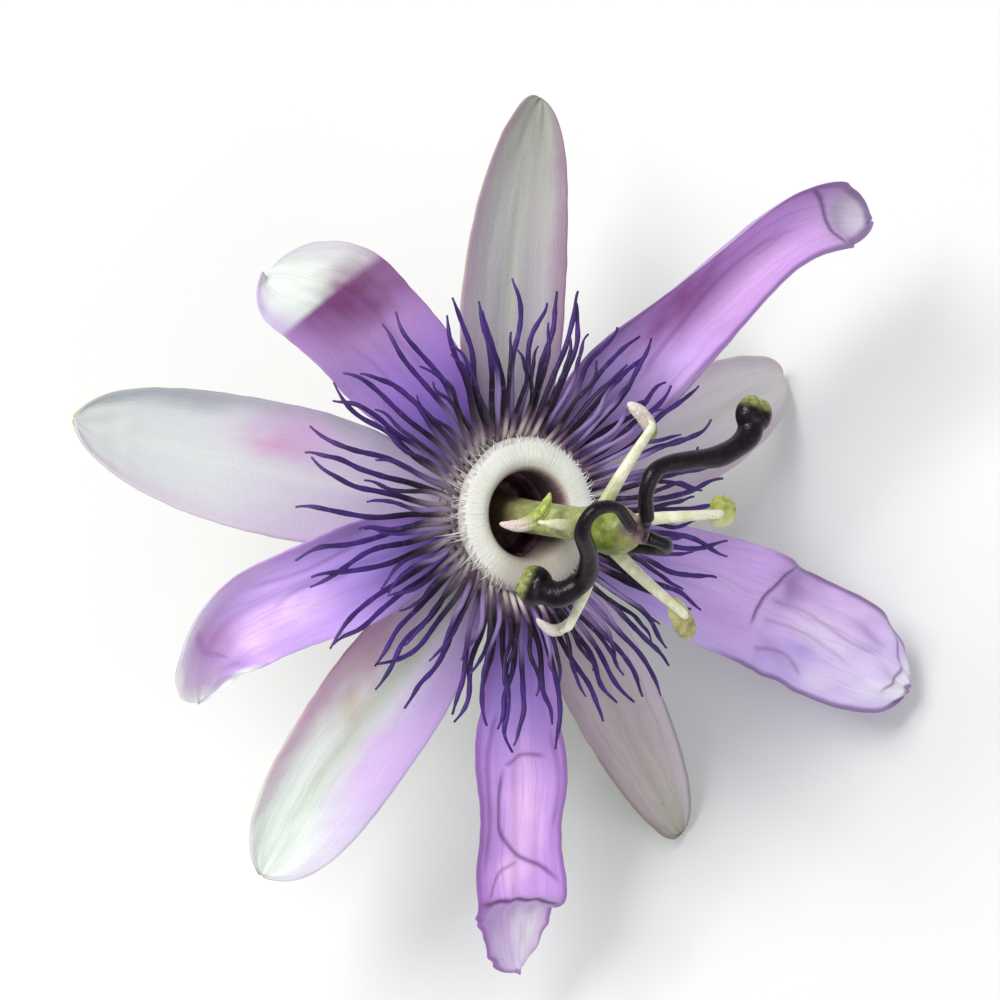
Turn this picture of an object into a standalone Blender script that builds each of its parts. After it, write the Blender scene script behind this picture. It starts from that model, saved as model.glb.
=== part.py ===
"""A passion flower, picked with a short stalk and laid down face up.

Metres, +Z up. The bloom is modelled in its own frame: Z runs along its axis, Z = 0 is the level
where the corona grows out, and X is the side that it leans to when it lies. It is then tipped over
and set down, so that two sepal tips and the stalk's end touch the surface at Z = 0. The whole
flower's origin is under the middle of its box.
"""

import math
import random
from functools import cache
from typing import NamedTuple

import bmesh
import bpy
import numpy as np
from mathutils import Matrix, Vector

MM = 0.001
GAP = 0.3 * MM

# How the flower lies
LEAN = math.radians(31.1)  # of the bloom's axis from the vertical
LEAN_TOWARDS = math.radians(-14.9)  # compass direction of the lean, from +X
ROLL = math.radians(2.4)  # turns the bloom about its own axis
SEAT = 36.83 * MM  # height of the bloom's centre above the surface

# Tepals, the name for sepals and petals together
BLADE = 0.8 * MM
TEPAL_ROOT = 7.2 * MM  # distance of a tepal's root from the axis
SEPAL_LEVEL = -2.0 * MM
PETAL_LEVEL = -0.9 * MM
TEPAL_ROWS = 14
TEPAL_COLUMNS = 6
STEPS = 160  # along a tepal's midline

# Floral cup and ring
CUP_RADIUS = 9.0 * MM
CUP_RIM = -2.7 * MM
CUP_FLOOR = -6.0 * MM
CUP_FOOT = -9.0 * MM
RING_OUTER = 8.6 * MM
RING_INNER = 4.7 * MM
RING_TOP = 3.4 * MM
TURNED_SIDES = 32

# Corona: each row is a thin band, grown together, with filaments standing out of it
CORONA_COUNT = 60  # filaments in a row
CORONA_SEED = 11
CORONA_OUTER_BAND = (8.85 * MM, 9.7 * MM, -0.2 * MM, 0.5 * MM)  # inner radius, outer radius, bottom, top
CORONA_INNER_BAND = (7.1 * MM, 8.4 * MM, -0.2 * MM, 0.9 * MM)
CORONA_OUTER_POINTS = 6  # along a filament
CORONA_INNER_POINTS = 5
CORONA_UPHILL = 0.18  # how much further the filaments reach on the side away from the lean

# Column and what it carries
COLUMN_LEAN = (math.radians(6), math.radians(5), 0)
COLUMN_FOOT = -5.2 * MM
COLUMN_TOP = 15.6 * MM
COLUMN_RADIUS = 1.9 * MM
OVARY_RADIUS = 2.8 * MM
OVARY_HEIGHT = 6.4 * MM
ANTHER_HALF_THICKNESS = 0.8 * MM
ANTHER_DROOP = 0.5 * MM  # of its ends

# Stalk and bracts
STALK_RADIUS = 1.1 * MM
BRACT_LEVEL = -14.5 * MM
BRACT_LENGTH = 12.0 * MM
BRACT_HALF_WIDTH = 3.4 * MM
BRACT_WIDEST = 0.4  # along the bract
BRACT_TURN = math.radians(40)  # of the first bract, from the bloom's X


def clear_scene():
    for obj in list(bpy.data.objects):
        bpy.data.objects.remove(obj, do_unlink=True)


def new_collection(name):
    collection = bpy.data.collections.new(name)
    bpy.context.scene.collection.children.link(collection)
    return collection


def new_material(name, colour, roughness=0.55):
    material = bpy.data.materials.new(name)
    material.use_nodes = True
    shader = material.node_tree.nodes["Principled BSDF"]
    shader.inputs["Base Color"].default_value = (*colour, 1)
    shader.inputs["Roughness"].default_value = roughness
    shader.inputs["Metallic"].default_value = 0
    material.diffuse_color = (*colour, 1)
    return material


def new_empty(name, collection, parent=None):
    empty = bpy.data.objects.new(name, None)
    empty.parent = parent
    collection.objects.link(empty)
    return empty


def add_part(name, data, material, collection, parent):
    obj = bpy.data.objects.new(name, data)
    obj.data.materials.append(material)
    obj.parent = parent
    collection.objects.link(obj)
    return obj


def to_mesh(obj):
    """Swaps the object's data, modifiers included, for a welded mesh of what they make."""
    graph = bpy.context.evaluated_depsgraph_get()
    mesh = bpy.data.meshes.new_from_object(obj.evaluated_get(graph))
    weld = bmesh.new()
    weld.from_mesh(mesh)
    bmesh.ops.remove_doubles(weld, verts=weld.verts, dist=0.00001)
    weld.to_mesh(mesh)
    weld.free()
    made = bpy.data.objects.new(obj.name + "_mesh", mesh)
    made.parent = obj.parent
    for collection in obj.users_collection:
        collection.objects.link(made)
    name = obj.name
    bpy.data.objects.remove(obj, do_unlink=True)
    made.name = name
    return made


def join_all(body, loose):
    """One Boolean union of the body with every object in the collection, applied."""
    union = body.modifiers.new("union", "BOOLEAN")
    union.operation = "UNION"
    union.operand_type = "COLLECTION"
    union.collection = loose
    union.solver = "MANIFOLD"
    joined = to_mesh(body)
    for obj in list(loose.objects):
        bpy.data.objects.remove(obj, do_unlink=True)
    bpy.data.collections.remove(loose)
    return joined


def smooth(obj, angle=50):
    obj.data.shade_smooth()
    obj.data.set_sharp_from_angle(angle=math.radians(angle))
    return obj


def turned(name, profile, material, collection, parent, sides=TURNED_SIDES):
    """A solid turned from a profile of (radius, height) points, whose outer side runs downwards."""
    outline = bmesh.new()
    points = [outline.verts.new((radius, 0, height)) for radius, height in profile]
    for first, second in zip(points, points[1:]):
        outline.edges.new((first, second))
    mesh = bpy.data.meshes.new(name)
    outline.to_mesh(mesh)
    outline.free()
    obj = add_part(name, mesh, material, collection, parent)
    screw = obj.modifiers.new("turn", "SCREW")
    screw.steps = screw.render_steps = sides
    screw.use_merge_vertices = True
    screw.merge_threshold = 0.00001
    screw.use_smooth_shade = True
    return obj


def tube(name, points, radii, material, collection, parent, resolution=1):
    """A tapered tube through the points, with a radius at each."""
    curve = bpy.data.curves.new(name, "CURVE")
    curve.dimensions = "3D"
    curve.bevel_depth = 1
    curve.bevel_resolution = resolution
    curve.use_fill_caps = True
    spline = curve.splines.new("POLY")
    spline.points.add(len(points) - 1)
    for at, point, radius in zip(spline.points, points, radii):
        at.co = (*point, 1)
        at.radius = radius
    return add_part(name, curve, material, collection, parent)


def through(points, count):
    """That many points on a smooth curve through the given ones, evenly spaced in their parameter."""
    knots = [2 * points[0] - points[1], *points, 2 * points[-1] - points[-2]]
    spans = len(points) - 1
    curve = []
    for step in range(count):
        at = step * spans / (count - 1)
        span = min(int(at), spans - 1)
        t = at - span
        a, b, c, d = knots[span : span + 4]
        square = (2 * a - 5 * b + 4 * c - d) * t**2
        cube = (3 * b - a - 3 * c + d) * t**3
        curve.append(0.5 * (2 * b + (c - a) * t + square + cube))
    return curve


def ease(x):
    x = min(max(x, 0.0), 1.0)
    return x * x * (3 - 2 * x)


def blend4(values, s):
    """A smooth mix of four control values from s = 0 to s = 1."""
    a, b, c, d = values
    r = 1 - s
    return a * r**3 + 3 * b * s * r**2 + 3 * c * s**2 * r + d * s**3


class Fold(NamedTuple):
    """A crease across a tepal, where the sheet dips. All but the dip are shares of the tepal's length."""

    where: float = 0.8
    dip: float = 0  # degrees
    turn: float = 0.06  # over which the sheet turns down
    hold: float = 0.06  # for which it stays down, before it levels out again
    slant: float = 0.0  # how much further out the crease meets the margin at u = 1


class Tepal:
    """A petal or sepal as a curved sheet. Angles are in degrees and lengths in mm.

    rise: four control values of the midline's slope above the bloom's plane
    cup: four control values of how far each half curls towards the viewer
    hook: where its end starts to turn sideways, and by how much
    """

    def __init__(self, compass, length, half_width, rise, cup, level, sway=0, hook=(0.7, 0), twist=0,
                 fold=Fold(), ripple=(0.0, 2.0, 0.0), root=0.5, widest=0.45, tip=2.4):
        self.length = length * MM
        self.half_width = half_width * MM
        self.rise = rise
        self.cup = cup
        self.twist = math.radians(twist)
        self.ripple = ripple
        self.root = root
        self.widest = widest
        self.tip = tip
        self.fold = fold
        self.compass = math.radians(compass)
        self.sway = math.radians(sway)
        self.hook_from = hook[0]
        self.hook_turn = math.radians(hook[1])
        self.level = level

    def slope(self, s, u):
        fold = self.fold
        beyond = s - fold.where - fold.slant * u
        dipped = ease(beyond / fold.turn + 0.5) - ease((beyond - fold.hold) / fold.turn + 0.5)
        return math.radians(blend4(self.rise, s) - fold.dip * dipped)

    def heading(self, s):
        hooked = ease((s - self.hook_from) / (1 - self.hook_from))
        return self.compass + self.sway * s * s + self.hook_turn * hooked

    @cache
    def midline(self, u):
        """The midline, bent as the strip at u bends: a slanted fold meets each strip elsewhere."""
        point = Vector((math.cos(self.compass) * TEPAL_ROOT, math.sin(self.compass) * TEPAL_ROOT, self.level))
        line = [point]
        for step in range(STEPS):
            s = (step + 0.5) / STEPS
            slope = self.slope(s, u)
            heading = self.heading(s)
            flat = math.cos(slope)
            towards = Vector((flat * math.cos(heading), flat * math.sin(heading), math.sin(slope)))
            point = point + towards * (self.length / STEPS)
            line.append(point)
        return line

    def width(self, s):
        """Half the width at s: it swells from the root to its widest place, then rounds off to the tip."""
        if s < self.widest:
            return self.half_width * (self.root + (1 - self.root) * math.sin(s / self.widest * math.pi / 2))
        past = (s - self.widest) / (1 - self.widest)
        return self.half_width * max((1 - past**self.tip) ** 0.5, 0.12)

    def place(self, s, u):
        """The point at s along the sheet and u across it, from -1 to 1."""
        at = s * STEPS
        step = min(int(at), STEPS - 1)
        line = self.midline(u)
        centre = line[step].lerp(line[step + 1], at - step)
        heading = self.heading(s)
        slope = self.slope(s, u)
        side = Vector((-math.sin(heading), math.cos(heading), 0))
        steep = math.sin(slope)
        up = Vector((-steep * math.cos(heading), -steep * math.sin(heading), math.cos(slope)))
        turn = self.twist * s * s
        side, up = side * math.cos(turn) + up * math.sin(turn), up * math.cos(turn) - side * math.sin(turn)
        curl = math.radians(blend4(self.cup, s))
        if abs(curl) < 0.01:
            curl = 0.01
        bow = self.width(s) / curl
        height, waves, phase = self.ripple
        beat = waves * s + phase + 0.23 * (u > 0)
        wave = height * MM * ease(s / 0.35) * u * u * math.sin(math.tau * beat)
        return centre + side * (bow * math.sin(curl * u)) + up * (bow * (1 - math.cos(curl * u)) + wave)


# rise and cup: at the root, then towards the tip
SEPALS = {
    "sepal_top": Tepal(85, 41.5, 6.8, (-18, -10, -2, -16), (0, 22, 34, 40), SEPAL_LEVEL, tip=2.2,
                       widest=0.38, sway=-21),
    "sepal_right": Tepal(19.5, 45, 6.8, (-24, -18, -24, -22), (0, 20, 30, 46), SEPAL_LEVEL, tip=2.4,
                         widest=0.42),
    "sepal_low_right": Tepal(-49, 43.5, 5.9, (-22, -20, -24, -20), (0, 20, 30, 46), SEPAL_LEVEL, tip=2.2,
                             widest=0.42, sway=3),
    "sepal_low_left": Tepal(-123, 41, 7.5, (-20, -18, -14, -6), (0, 22, 30, 36), SEPAL_LEVEL, tip=3.4,
                            widest=0.48, sway=2),
    "sepal_left": Tepal(170, 44, 7.6, (-20, -16, -11, 0), (0, 22, 32, 40), SEPAL_LEVEL, tip=2.5,
                        widest=0.44, sway=-6),
}
PETALS = {
    "petal_high_right": Tepal(46, 50, 6.4, (-6, 2, 26, 8), (0, 10, 200, 20), PETAL_LEVEL, sway=-8,
                              hook=(0.66, -44), twist=-6, fold=Fold(0.88, 30, 0.05, 0.05), root=0.55,
                              tip=4.0, widest=0.35, ripple=(0.5, 2.2, 0.1)),
    "petal_right": Tepal(-16.5, 50.5, 6.7, (-6, -6, 10, -8), (0, 16, 14, -12), PETAL_LEVEL, sway=-10,
                         fold=Fold(0.54, 32, 0.06, 0.06, 0.03), root=0.4, tip=4.4, widest=0.55,
                         ripple=(0.8, 3.2, 0.35)),
    "petal_low": Tepal(-84.5, 47, 5.7, (-6, -14, -18, -18), (0, 16, 22, 10), PETAL_LEVEL, sway=13,
                       fold=Fold(0.78, 55, 0.05, 0.05, 0.01), root=0.45, tip=5.0, widest=0.5,
                       ripple=(0.7, 3.0, 0.6)),
    "petal_left": Tepal(-161.5, 38, 6.3, (-6, -8, -8, -34), (0, 20, 90, 40), PETAL_LEVEL, sway=10,
                        hook=(0.62, 75), root=0.42, tip=3.4, widest=0.45, ripple=(0.5, 2.6, 0.2)),
    "petal_high_left": Tepal(129, 33.5, 7.4, (-6, -8, -4, -12), (0, 20, 24, 16), PETAL_LEVEL, sway=24,
                             fold=Fold(0.75, 48, 0.06, 1.0, 0.06), root=0.42, tip=3.6, widest=0.55,
                             ripple=(0.4, 2.4, 0.5)),
}
HORN_AT = 0.88  # along the sepal
HORN_LENGTH = 3.2 * MM
HORN_RADIUS = 0.55 * MM


def blade_mesh(name, place, rows, columns):
    """An open sheet of triangles, laid out by place(s, u)."""
    sheet = bmesh.new()
    bmesh.ops.create_grid(sheet, x_segments=rows, y_segments=columns, size=1)
    for vert in sheet.verts:
        vert.co = place((vert.co.x + 1) / 2, vert.co.y)
    bmesh.ops.triangulate(sheet, faces=sheet.faces)
    mesh = bpy.data.meshes.new(name)
    sheet.to_mesh(mesh)
    sheet.free()
    return mesh


def thicken(obj, thickness):
    shell = obj.modifiers.new("thickness", "SOLIDIFY")
    shell.thickness = thickness
    shell.offset = 0
    return obj


def add_petal(name, tepal, material, collection, parent):
    sheet = blade_mesh(name, tepal.place, TEPAL_ROWS, TEPAL_COLUMNS)
    petal = add_part(name, sheet, material, collection, parent)
    return thicken(smooth(petal, 80), BLADE)


def add_sepal(name, tepal, material, collection, parent):
    """A sepal with the small horn on its back."""
    sepal = to_mesh(add_petal(name, tepal, material, collection, parent))
    root = tepal.place(HORN_AT, 0)
    along = (tepal.place(HORN_AT + 0.03, 0) - root).normalized()
    across = (tepal.place(HORN_AT, 0.4) - tepal.place(HORN_AT, -0.4)).normalized()
    back = across.cross(along).normalized()
    tip = root + (along * 0.88 + back * 0.48).normalized() * HORN_LENGTH
    loose = new_collection(name + "_loose")
    horn = tube(name + "_horn", [root, (root + tip) / 2, tip],
                [HORN_RADIUS, HORN_RADIUS * 0.8, HORN_RADIUS * 0.3], material, loose, parent)
    to_mesh(horn)
    return smooth(join_all(sepal, loose), 60)


def add_floral_cup(material, collection, parent):
    profile = [
        (0, CUP_FLOOR),
        (3.8 * MM, CUP_FLOOR),
        (4.5 * MM, CUP_FLOOR + 0.9 * MM),
        (4.7 * MM, CUP_RIM),
        (7.0 * MM, CUP_RIM),
        (CUP_RADIUS - 0.4 * MM, CUP_RIM - 1.0 * MM),
        (CUP_RADIUS, CUP_RIM - 1.5 * MM),
        (CUP_RADIUS - 0.5 * MM, CUP_RIM - 2.5 * MM),
        (6.9 * MM, CUP_FOOT + 2.3 * MM),
        (4.4 * MM, CUP_FOOT + 0.9 * MM),
        (1.9 * MM, CUP_FOOT),
        (0, CUP_FOOT),
    ]
    return turned("floral_cup", profile, material, collection, parent)


def add_nectar_ring(material, collection, parent):
    """The pale ring: a skirt inside the tepals' roots with a rounded lip that leans over the corona."""
    skirt = TEPAL_ROOT - BLADE
    foot = CUP_RIM + GAP
    profile = [
        (RING_INNER + 0.3 * MM, foot),
        (RING_INNER + 0.2 * MM, 0.5 * MM),
        (RING_INNER, 2.0 * MM),
        (RING_INNER + 0.45 * MM, 2.95 * MM),
        (RING_INNER + 1.5 * MM, RING_TOP),
        (RING_OUTER - 0.7 * MM, RING_TOP - 0.3 * MM),
        (RING_OUTER, RING_TOP - 1.1 * MM),
        (RING_OUTER - 0.4 * MM, 1.75 * MM),
        (skirt, 1.1 * MM),
        (skirt, foot),
        (RING_INNER + 0.3 * MM, foot),
    ]
    return turned("nectar_ring", profile, material, collection, parent)


def row_of_filaments(seed, root, reach, climb, offset, thickness, points):
    """Each filament of a corona row as (points, radii): it runs outwards and waves more towards its tip."""
    draw = random.Random(seed)
    row = []
    for index in range(CORONA_COUNT):
        compass = math.tau * (index + offset) / CORONA_COUNT + math.radians(draw.uniform(-0.8, 0.8))
        end = reach * (1 + CORONA_UPHILL * max(-math.cos(compass), 0) ** 2) + draw.uniform(-1.9, 1.5) * MM
        bend = math.radians(draw.uniform(-6, 6))
        sway = draw.uniform(0.25, 0.75) * MM
        waves = draw.uniform(1.0, 1.7)
        phase = draw.uniform(0, math.tau)
        lift = draw.uniform(-0.25, 0.25) * MM
        path = []
        radii = []
        for step in range(points):
            x = step / (points - 1)
            radius = root[0] + (end - root[0]) * x
            turn = compass + bend * x * x + sway * x * math.sin(math.tau * waves * x + phase) / radius
            height = root[1] + climb * math.sin(min(x * 1.25, 1) * math.pi / 2) + lift * x
            path.append(Vector((radius * math.cos(turn), radius * math.sin(turn), height)))
            radii.append(thickness * (1 - 0.4 * x))
        row.append((path, radii))
    return row


def add_corona_row(name, band, filaments, material, collection, parent):
    """A thin band with a row of filaments grown out of it."""
    inner, outer, bottom, top = band
    profile = [(inner, bottom), (inner, top), (outer, top), (outer, bottom), (inner, bottom)]
    base = to_mesh(turned(name, profile, material, collection, parent, sides=CORONA_COUNT))
    loose = new_collection(name + "_loose")
    for index, (path, radii) in enumerate(filaments):
        to_mesh(tube(f"{name}_{index}", path, radii, material, loose, parent, resolution=0))
    return smooth(join_all(base, loose), 60)


def corona_outer_filaments(points):
    return row_of_filaments(CORONA_SEED, root=(9.25 * MM, 0.2 * MM), reach=24.6 * MM, climb=3.0 * MM,
                            offset=0.0, thickness=0.4 * MM, points=points)


def corona_inner_filaments(points):
    return row_of_filaments(CORONA_SEED + 1, root=(7.9 * MM, 0.6 * MM), reach=19.5 * MM, climb=4.9 * MM,
                            offset=0.5, thickness=0.33 * MM, points=points)


def add_corona(material, collection, parent):
    add_corona_row("corona_outer_row", CORONA_OUTER_BAND, corona_outer_filaments(CORONA_OUTER_POINTS),
                   material, collection, parent)
    add_corona_row("corona_inner_row", CORONA_INNER_BAND, corona_inner_filaments(CORONA_INNER_POINTS),
                   material, collection, parent)


class Stamen(NamedTuple):
    """One filament and its anther. Angles are in degrees and lengths in mm."""

    compass: float
    reach: float  # of the filament, from the column's axis
    height: float  # of the filament's tip
    turn: float  # of the anther, from the filament's direction
    bend: float  # of the anther's ends, sideways
    half_length: float  # of the anther
    half_width: float


STAMENS = [
    Stamen(64, 13.2, 17.2, 70, 0.3, 2.7, 0.85),
    Stamen(8, 15.2, 19.8, 76, 0.0, 1.8, 1.7),
    Stamen(-41, 15.2, 18.4, -14, 0.3, 2.7, 1.3),
    Stamen(-98, 11.8, 13.2, 100, 1.3, 2.3, 0.65),
    Stamen(177, 6.6, 14.6, -149, 1.5, 3.7, 0.8),
]


def stamen_path(compass, reach, height):
    towards = Vector((math.cos(math.radians(compass)), math.sin(math.radians(compass)), 0))
    hub = towards * 0.8 * MM + Vector((0, 0, COLUMN_TOP - 1.0 * MM))
    end = towards * reach * MM + Vector((0, 0, height * MM))
    shoulder = hub + towards * reach * 0.45 * MM + Vector((0, 0, 0.9 * MM))
    return through([hub, shoulder, end], 6)


def add_column(material, collection, parent):
    """The column with its five stamen filaments, one body."""
    profile = [
        (0, COLUMN_TOP),
        (1.7 * MM, COLUMN_TOP - 0.1 * MM),
        (2.5 * MM, COLUMN_TOP - 0.8 * MM),
        (2.2 * MM, COLUMN_TOP - 2.4 * MM),
        (COLUMN_RADIUS, COLUMN_TOP - 5.0 * MM),
        (COLUMN_RADIUS, 1.0 * MM),
        (2.3 * MM, -3.0 * MM),
        (2.7 * MM, COLUMN_FOOT),
        (0, COLUMN_FOOT),
    ]
    body = to_mesh(turned("column", profile, material, collection, parent, sides=16))
    loose = new_collection("column_loose")
    for index, stamen in enumerate(STAMENS):
        path = stamen_path(stamen.compass, stamen.reach, stamen.height)
        radii = [(0.95 - 0.09 * step) * MM for step in range(len(path))]
        to_mesh(tube(f"stamen_{index}", path, radii, material, loose, parent))
    return smooth(join_all(body, loose), 50)


def add_anther(index, material, collection, parent):
    """A long pollen sac, hung by its middle under the filament's tip and turned across it."""
    stamen = STAMENS[index]
    half = Vector((stamen.half_length * MM, stamen.half_width * MM, ANTHER_HALF_THICKNESS))
    ball = bmesh.new()
    lengthways = Matrix.Rotation(math.pi / 2, 4, "Y")
    bmesh.ops.create_uvsphere(ball, u_segments=10, v_segments=8, radius=1, matrix=lengthways)
    for vert in ball.verts:
        vert.co = Vector((vert.co.x * half.x, vert.co.y * half.y, vert.co.z * half.z))
        towards_end = (vert.co.x / half.x) ** 2
        vert.co.y += stamen.bend * MM * towards_end
        vert.co.z -= ANTHER_DROOP * towards_end
    mesh = bpy.data.meshes.new(f"anther_{index + 1}")
    ball.to_mesh(mesh)
    ball.free()
    anther = add_part(mesh.name, mesh, material, collection, parent)
    drop = half.z + ANTHER_DROOP + 2.5 * GAP
    compass = math.radians(stamen.compass)
    out = stamen.reach * MM
    anther.location = (math.cos(compass) * out, math.sin(compass) * out, stamen.height * MM - drop)
    anther.rotation_euler = (0, 0, compass + math.radians(stamen.turn))
    return smooth(anther)


def add_ovary(material, collection, parent):
    foot = COLUMN_TOP + GAP
    count = 10
    profile = []
    for step in range(count + 1):
        angle = math.pi * step / count
        swell = 1 + 0.12 * math.cos(angle)
        radius = max(OVARY_RADIUS * math.sin(angle) ** 0.8 / swell, 0) if 0 < step < count else 0
        profile.append((radius, foot + OVARY_HEIGHT * (1 + math.cos(angle)) / 2))
    return turned("ovary", profile, material, collection, parent, sides=20)


# Each style's route in mm, in the column's frame, from the ovary's top to the stigma
STYLE_ROUTES = [
    [(-1.0, 0.8, 23.2), (-4.0, 2.9, 24.3), (-6.8, 2.5, 24.2), (-7.3, 0.2, 23.0), (-4.7, -2.7, 20.8),
     (-3.4, -5.4, 18.3), (-5.1, -7.3, 16.2), (-7.1, -6.5, 14.4)],
    [(1.0, 1.5, 23.2), (0.1, 4.6, 24.0), (1.2, 7.2, 24.4), (5.2, 8.1, 24.4), (9.6, 8.7, 24.2),
     (13.2, 10.6, 23.8), (14.3, 13.2, 23.4)],
    [(1.2, -0.4, 23.2), (3.6, -1.1, 23.2), (5.3, -1.7, 20.6), (5.5, -1.8, 16.4), (5.2, -1.7, 12.6)],
]
STYLE_RADII = [(0.72, 1.7), (0.9, 1.6), (0.8, 1.2)]  # of each style, at its root and its end, in mm
STIGMA = Vector((2.3, 2.3, 1.7)) * MM


def add_style(index, material, collection, parent):
    """A style that thickens towards its end, where the rounded stigma is grown on."""
    route = [Vector(point) * MM for point in STYLE_ROUTES[index]]
    path = through(route, 12)
    root, end = STYLE_RADII[index]
    radii = [(root + (end - root) * (step / 11) ** 1.5) * MM for step in range(12)]
    name = f"style_{index + 1}"
    style = to_mesh(tube(name, path, radii, material, collection, parent))
    loose = new_collection(name + "_loose")
    knob = bmesh.new()
    bmesh.ops.create_uvsphere(knob, u_segments=12, v_segments=8, radius=1)
    for vert in knob.verts:
        vert.co = Vector((vert.co.x * STIGMA.x, vert.co.y * STIGMA.y, vert.co.z * STIGMA.z))
    mesh = bpy.data.meshes.new(name + "_stigma")
    knob.to_mesh(mesh)
    knob.free()
    stigma = add_part(mesh.name, mesh, material, loose, parent)
    stigma.location = path[-1]
    return smooth(join_all(style, loose), 60)


def add_bract(index, material, collection, parent):
    """A small leaf below the cup, which stands off the stalk and curls back at its tip."""
    compass = math.tau * index / 3 + BRACT_TURN
    heading = Vector((math.cos(compass), math.sin(compass), 0))
    side = Vector((-math.sin(compass), math.cos(compass), 0))
    slope = (70, 50, 5, -60)
    line = [heading * (STALK_RADIUS + BLADE / 2 + 1.6 * GAP) + Vector((0, 0, BRACT_LEVEL))]
    steps = 60
    for step in range(steps):
        angle = math.radians(blend4(slope, (step + 0.5) / steps))
        towards = heading * math.cos(angle) + Vector((0, 0, math.sin(angle)))
        line.append(line[-1] + towards * BRACT_LENGTH / steps)

    def place(s, u):
        at = line[min(round(s * steps), steps)]
        angle = math.radians(blend4(slope, s))
        up = heading * -math.sin(angle) + Vector((0, 0, math.cos(angle)))
        if s < BRACT_WIDEST:
            share = 0.32 + 0.68 * math.sin(s / BRACT_WIDEST * math.pi / 2)
        else:
            past = (s - BRACT_WIDEST) / (1 - BRACT_WIDEST)
            share = max((1 - past**1.6) ** 0.8, 0.12)
        width = BRACT_HALF_WIDTH * share
        return at + side * (width * u) + up * (0.3 * width * u * u)

    sheet = blade_mesh(f"bract_{index + 1}", place, 8, 4)
    return thicken(smooth(add_part(sheet.name, sheet, material, collection, parent), 80), BLADE)


def lie_down():
    """The turn that tips the bloom over sideways."""
    tip = Matrix.Rotation(LEAN, 4, Vector((-math.sin(LEAN_TOWARDS), math.cos(LEAN_TOWARDS), 0)))
    return tip @ Matrix.Rotation(ROLL, 4, "Z")


def add_stalk(material, collection, parent, bloom):
    """It leaves the cup along the bloom's axis, then bends to lie along the surface to its cut end."""
    start = bloom @ Vector((0, 0, CUP_FOOT - GAP))
    along = (bloom @ Vector((0, 0, -1)) - bloom @ Vector((0, 0, 0))).normalized()
    rest = STALK_RADIUS
    route = [
        start,
        start + along * 6.5 * MM,
        start + along * 13 * MM,
        Vector((-19.5 * MM, 6.0 * MM, 7.2 * MM)),
        Vector((-26.5 * MM, 8.6 * MM, 2.3 * MM)),
        Vector((-36.0 * MM, 11.6 * MM, rest)),
    ]
    path = through(route, 16)
    stalk = tube("stalk", path, [STALK_RADIUS] * len(path), material, collection, parent, resolution=2)
    return to_mesh(stalk)


def settle(flower, parts):
    """Sets the flower down: its lowest point at Z = 0, with the middle of its box over the origin."""
    bpy.context.view_layer.update()
    graph = bpy.context.evaluated_depsgraph_get()
    corners = []
    for obj in parts.objects:
        if obj.type != "MESH":
            continue
        shape = obj.evaluated_get(graph)
        mesh = shape.to_mesh()
        points = np.array([shape.matrix_world @ vert.co for vert in mesh.vertices])
        corners += [points.min(axis=0), points.max(axis=0)]
        shape.to_mesh_clear()
    low = np.min(corners, axis=0)
    high = np.max(corners, axis=0)
    flower.location = (-(low[0] + high[0]) / 2, -(low[1] + high[1]) / 2, -low[2])


def main():
    clear_scene()
    parts = new_collection("passion_flower")
    white = new_material("sepal", (0.80, 0.80, 0.78))
    lavender = new_material("petal", (0.50, 0.30, 0.78))
    violet = new_material("corona", (0.09, 0.03, 0.22))
    cream = new_material("ring", (0.68, 0.68, 0.58))
    green = new_material("cup", (0.25, 0.33, 0.09))
    pale_green = new_material("column", (0.42, 0.47, 0.18))
    yellow = new_material("anther", (0.55, 0.52, 0.18))
    olive = new_material("ovary", (0.20, 0.27, 0.05))
    dark = new_material("style", (0.025, 0.01, 0.03))
    grey_green = new_material("bract", (0.10, 0.11, 0.07))

    flower = new_empty("flower", parts)
    bloom = new_empty("bloom_axis", parts, flower)
    bloom.matrix_local = Matrix.Translation((0, 0, SEAT)) @ lie_down()
    column = new_empty("column_axis", parts, bloom)
    column.rotation_euler = COLUMN_LEAN

    for name, tepal in SEPALS.items():
        add_sepal(name, tepal, white, parts, bloom)
    for name, tepal in PETALS.items():
        add_petal(name, tepal, lavender, parts, bloom)
    add_floral_cup(green, parts, bloom)
    add_nectar_ring(cream, parts, bloom)
    add_corona(violet, parts, bloom)
    add_column(pale_green, parts, column)
    for index in range(len(STAMENS)):
        add_anther(index, yellow, parts, column)
    add_ovary(olive, parts, column)
    for index in range(len(STYLE_ROUTES)):
        add_style(index, dark, parts, column)
    for index in range(3):
        add_bract(index, grey_green, parts, bloom)
    add_stalk(green, parts, flower, bloom.matrix_local)
    settle(flower, parts)


main()
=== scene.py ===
"""The looks of a picked passion flower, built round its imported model.

Every piece is made from the same named values as its solid, only finer, in the bloom's own frame: Z along
its axis, Z = 0 where the corona grows out. It is then tipped over and set down as the solids are.
"""

import math
import random
from typing import NamedTuple

import bmesh
import bpy
import numpy as np
from mathutils import Euler, Matrix, Vector


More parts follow.
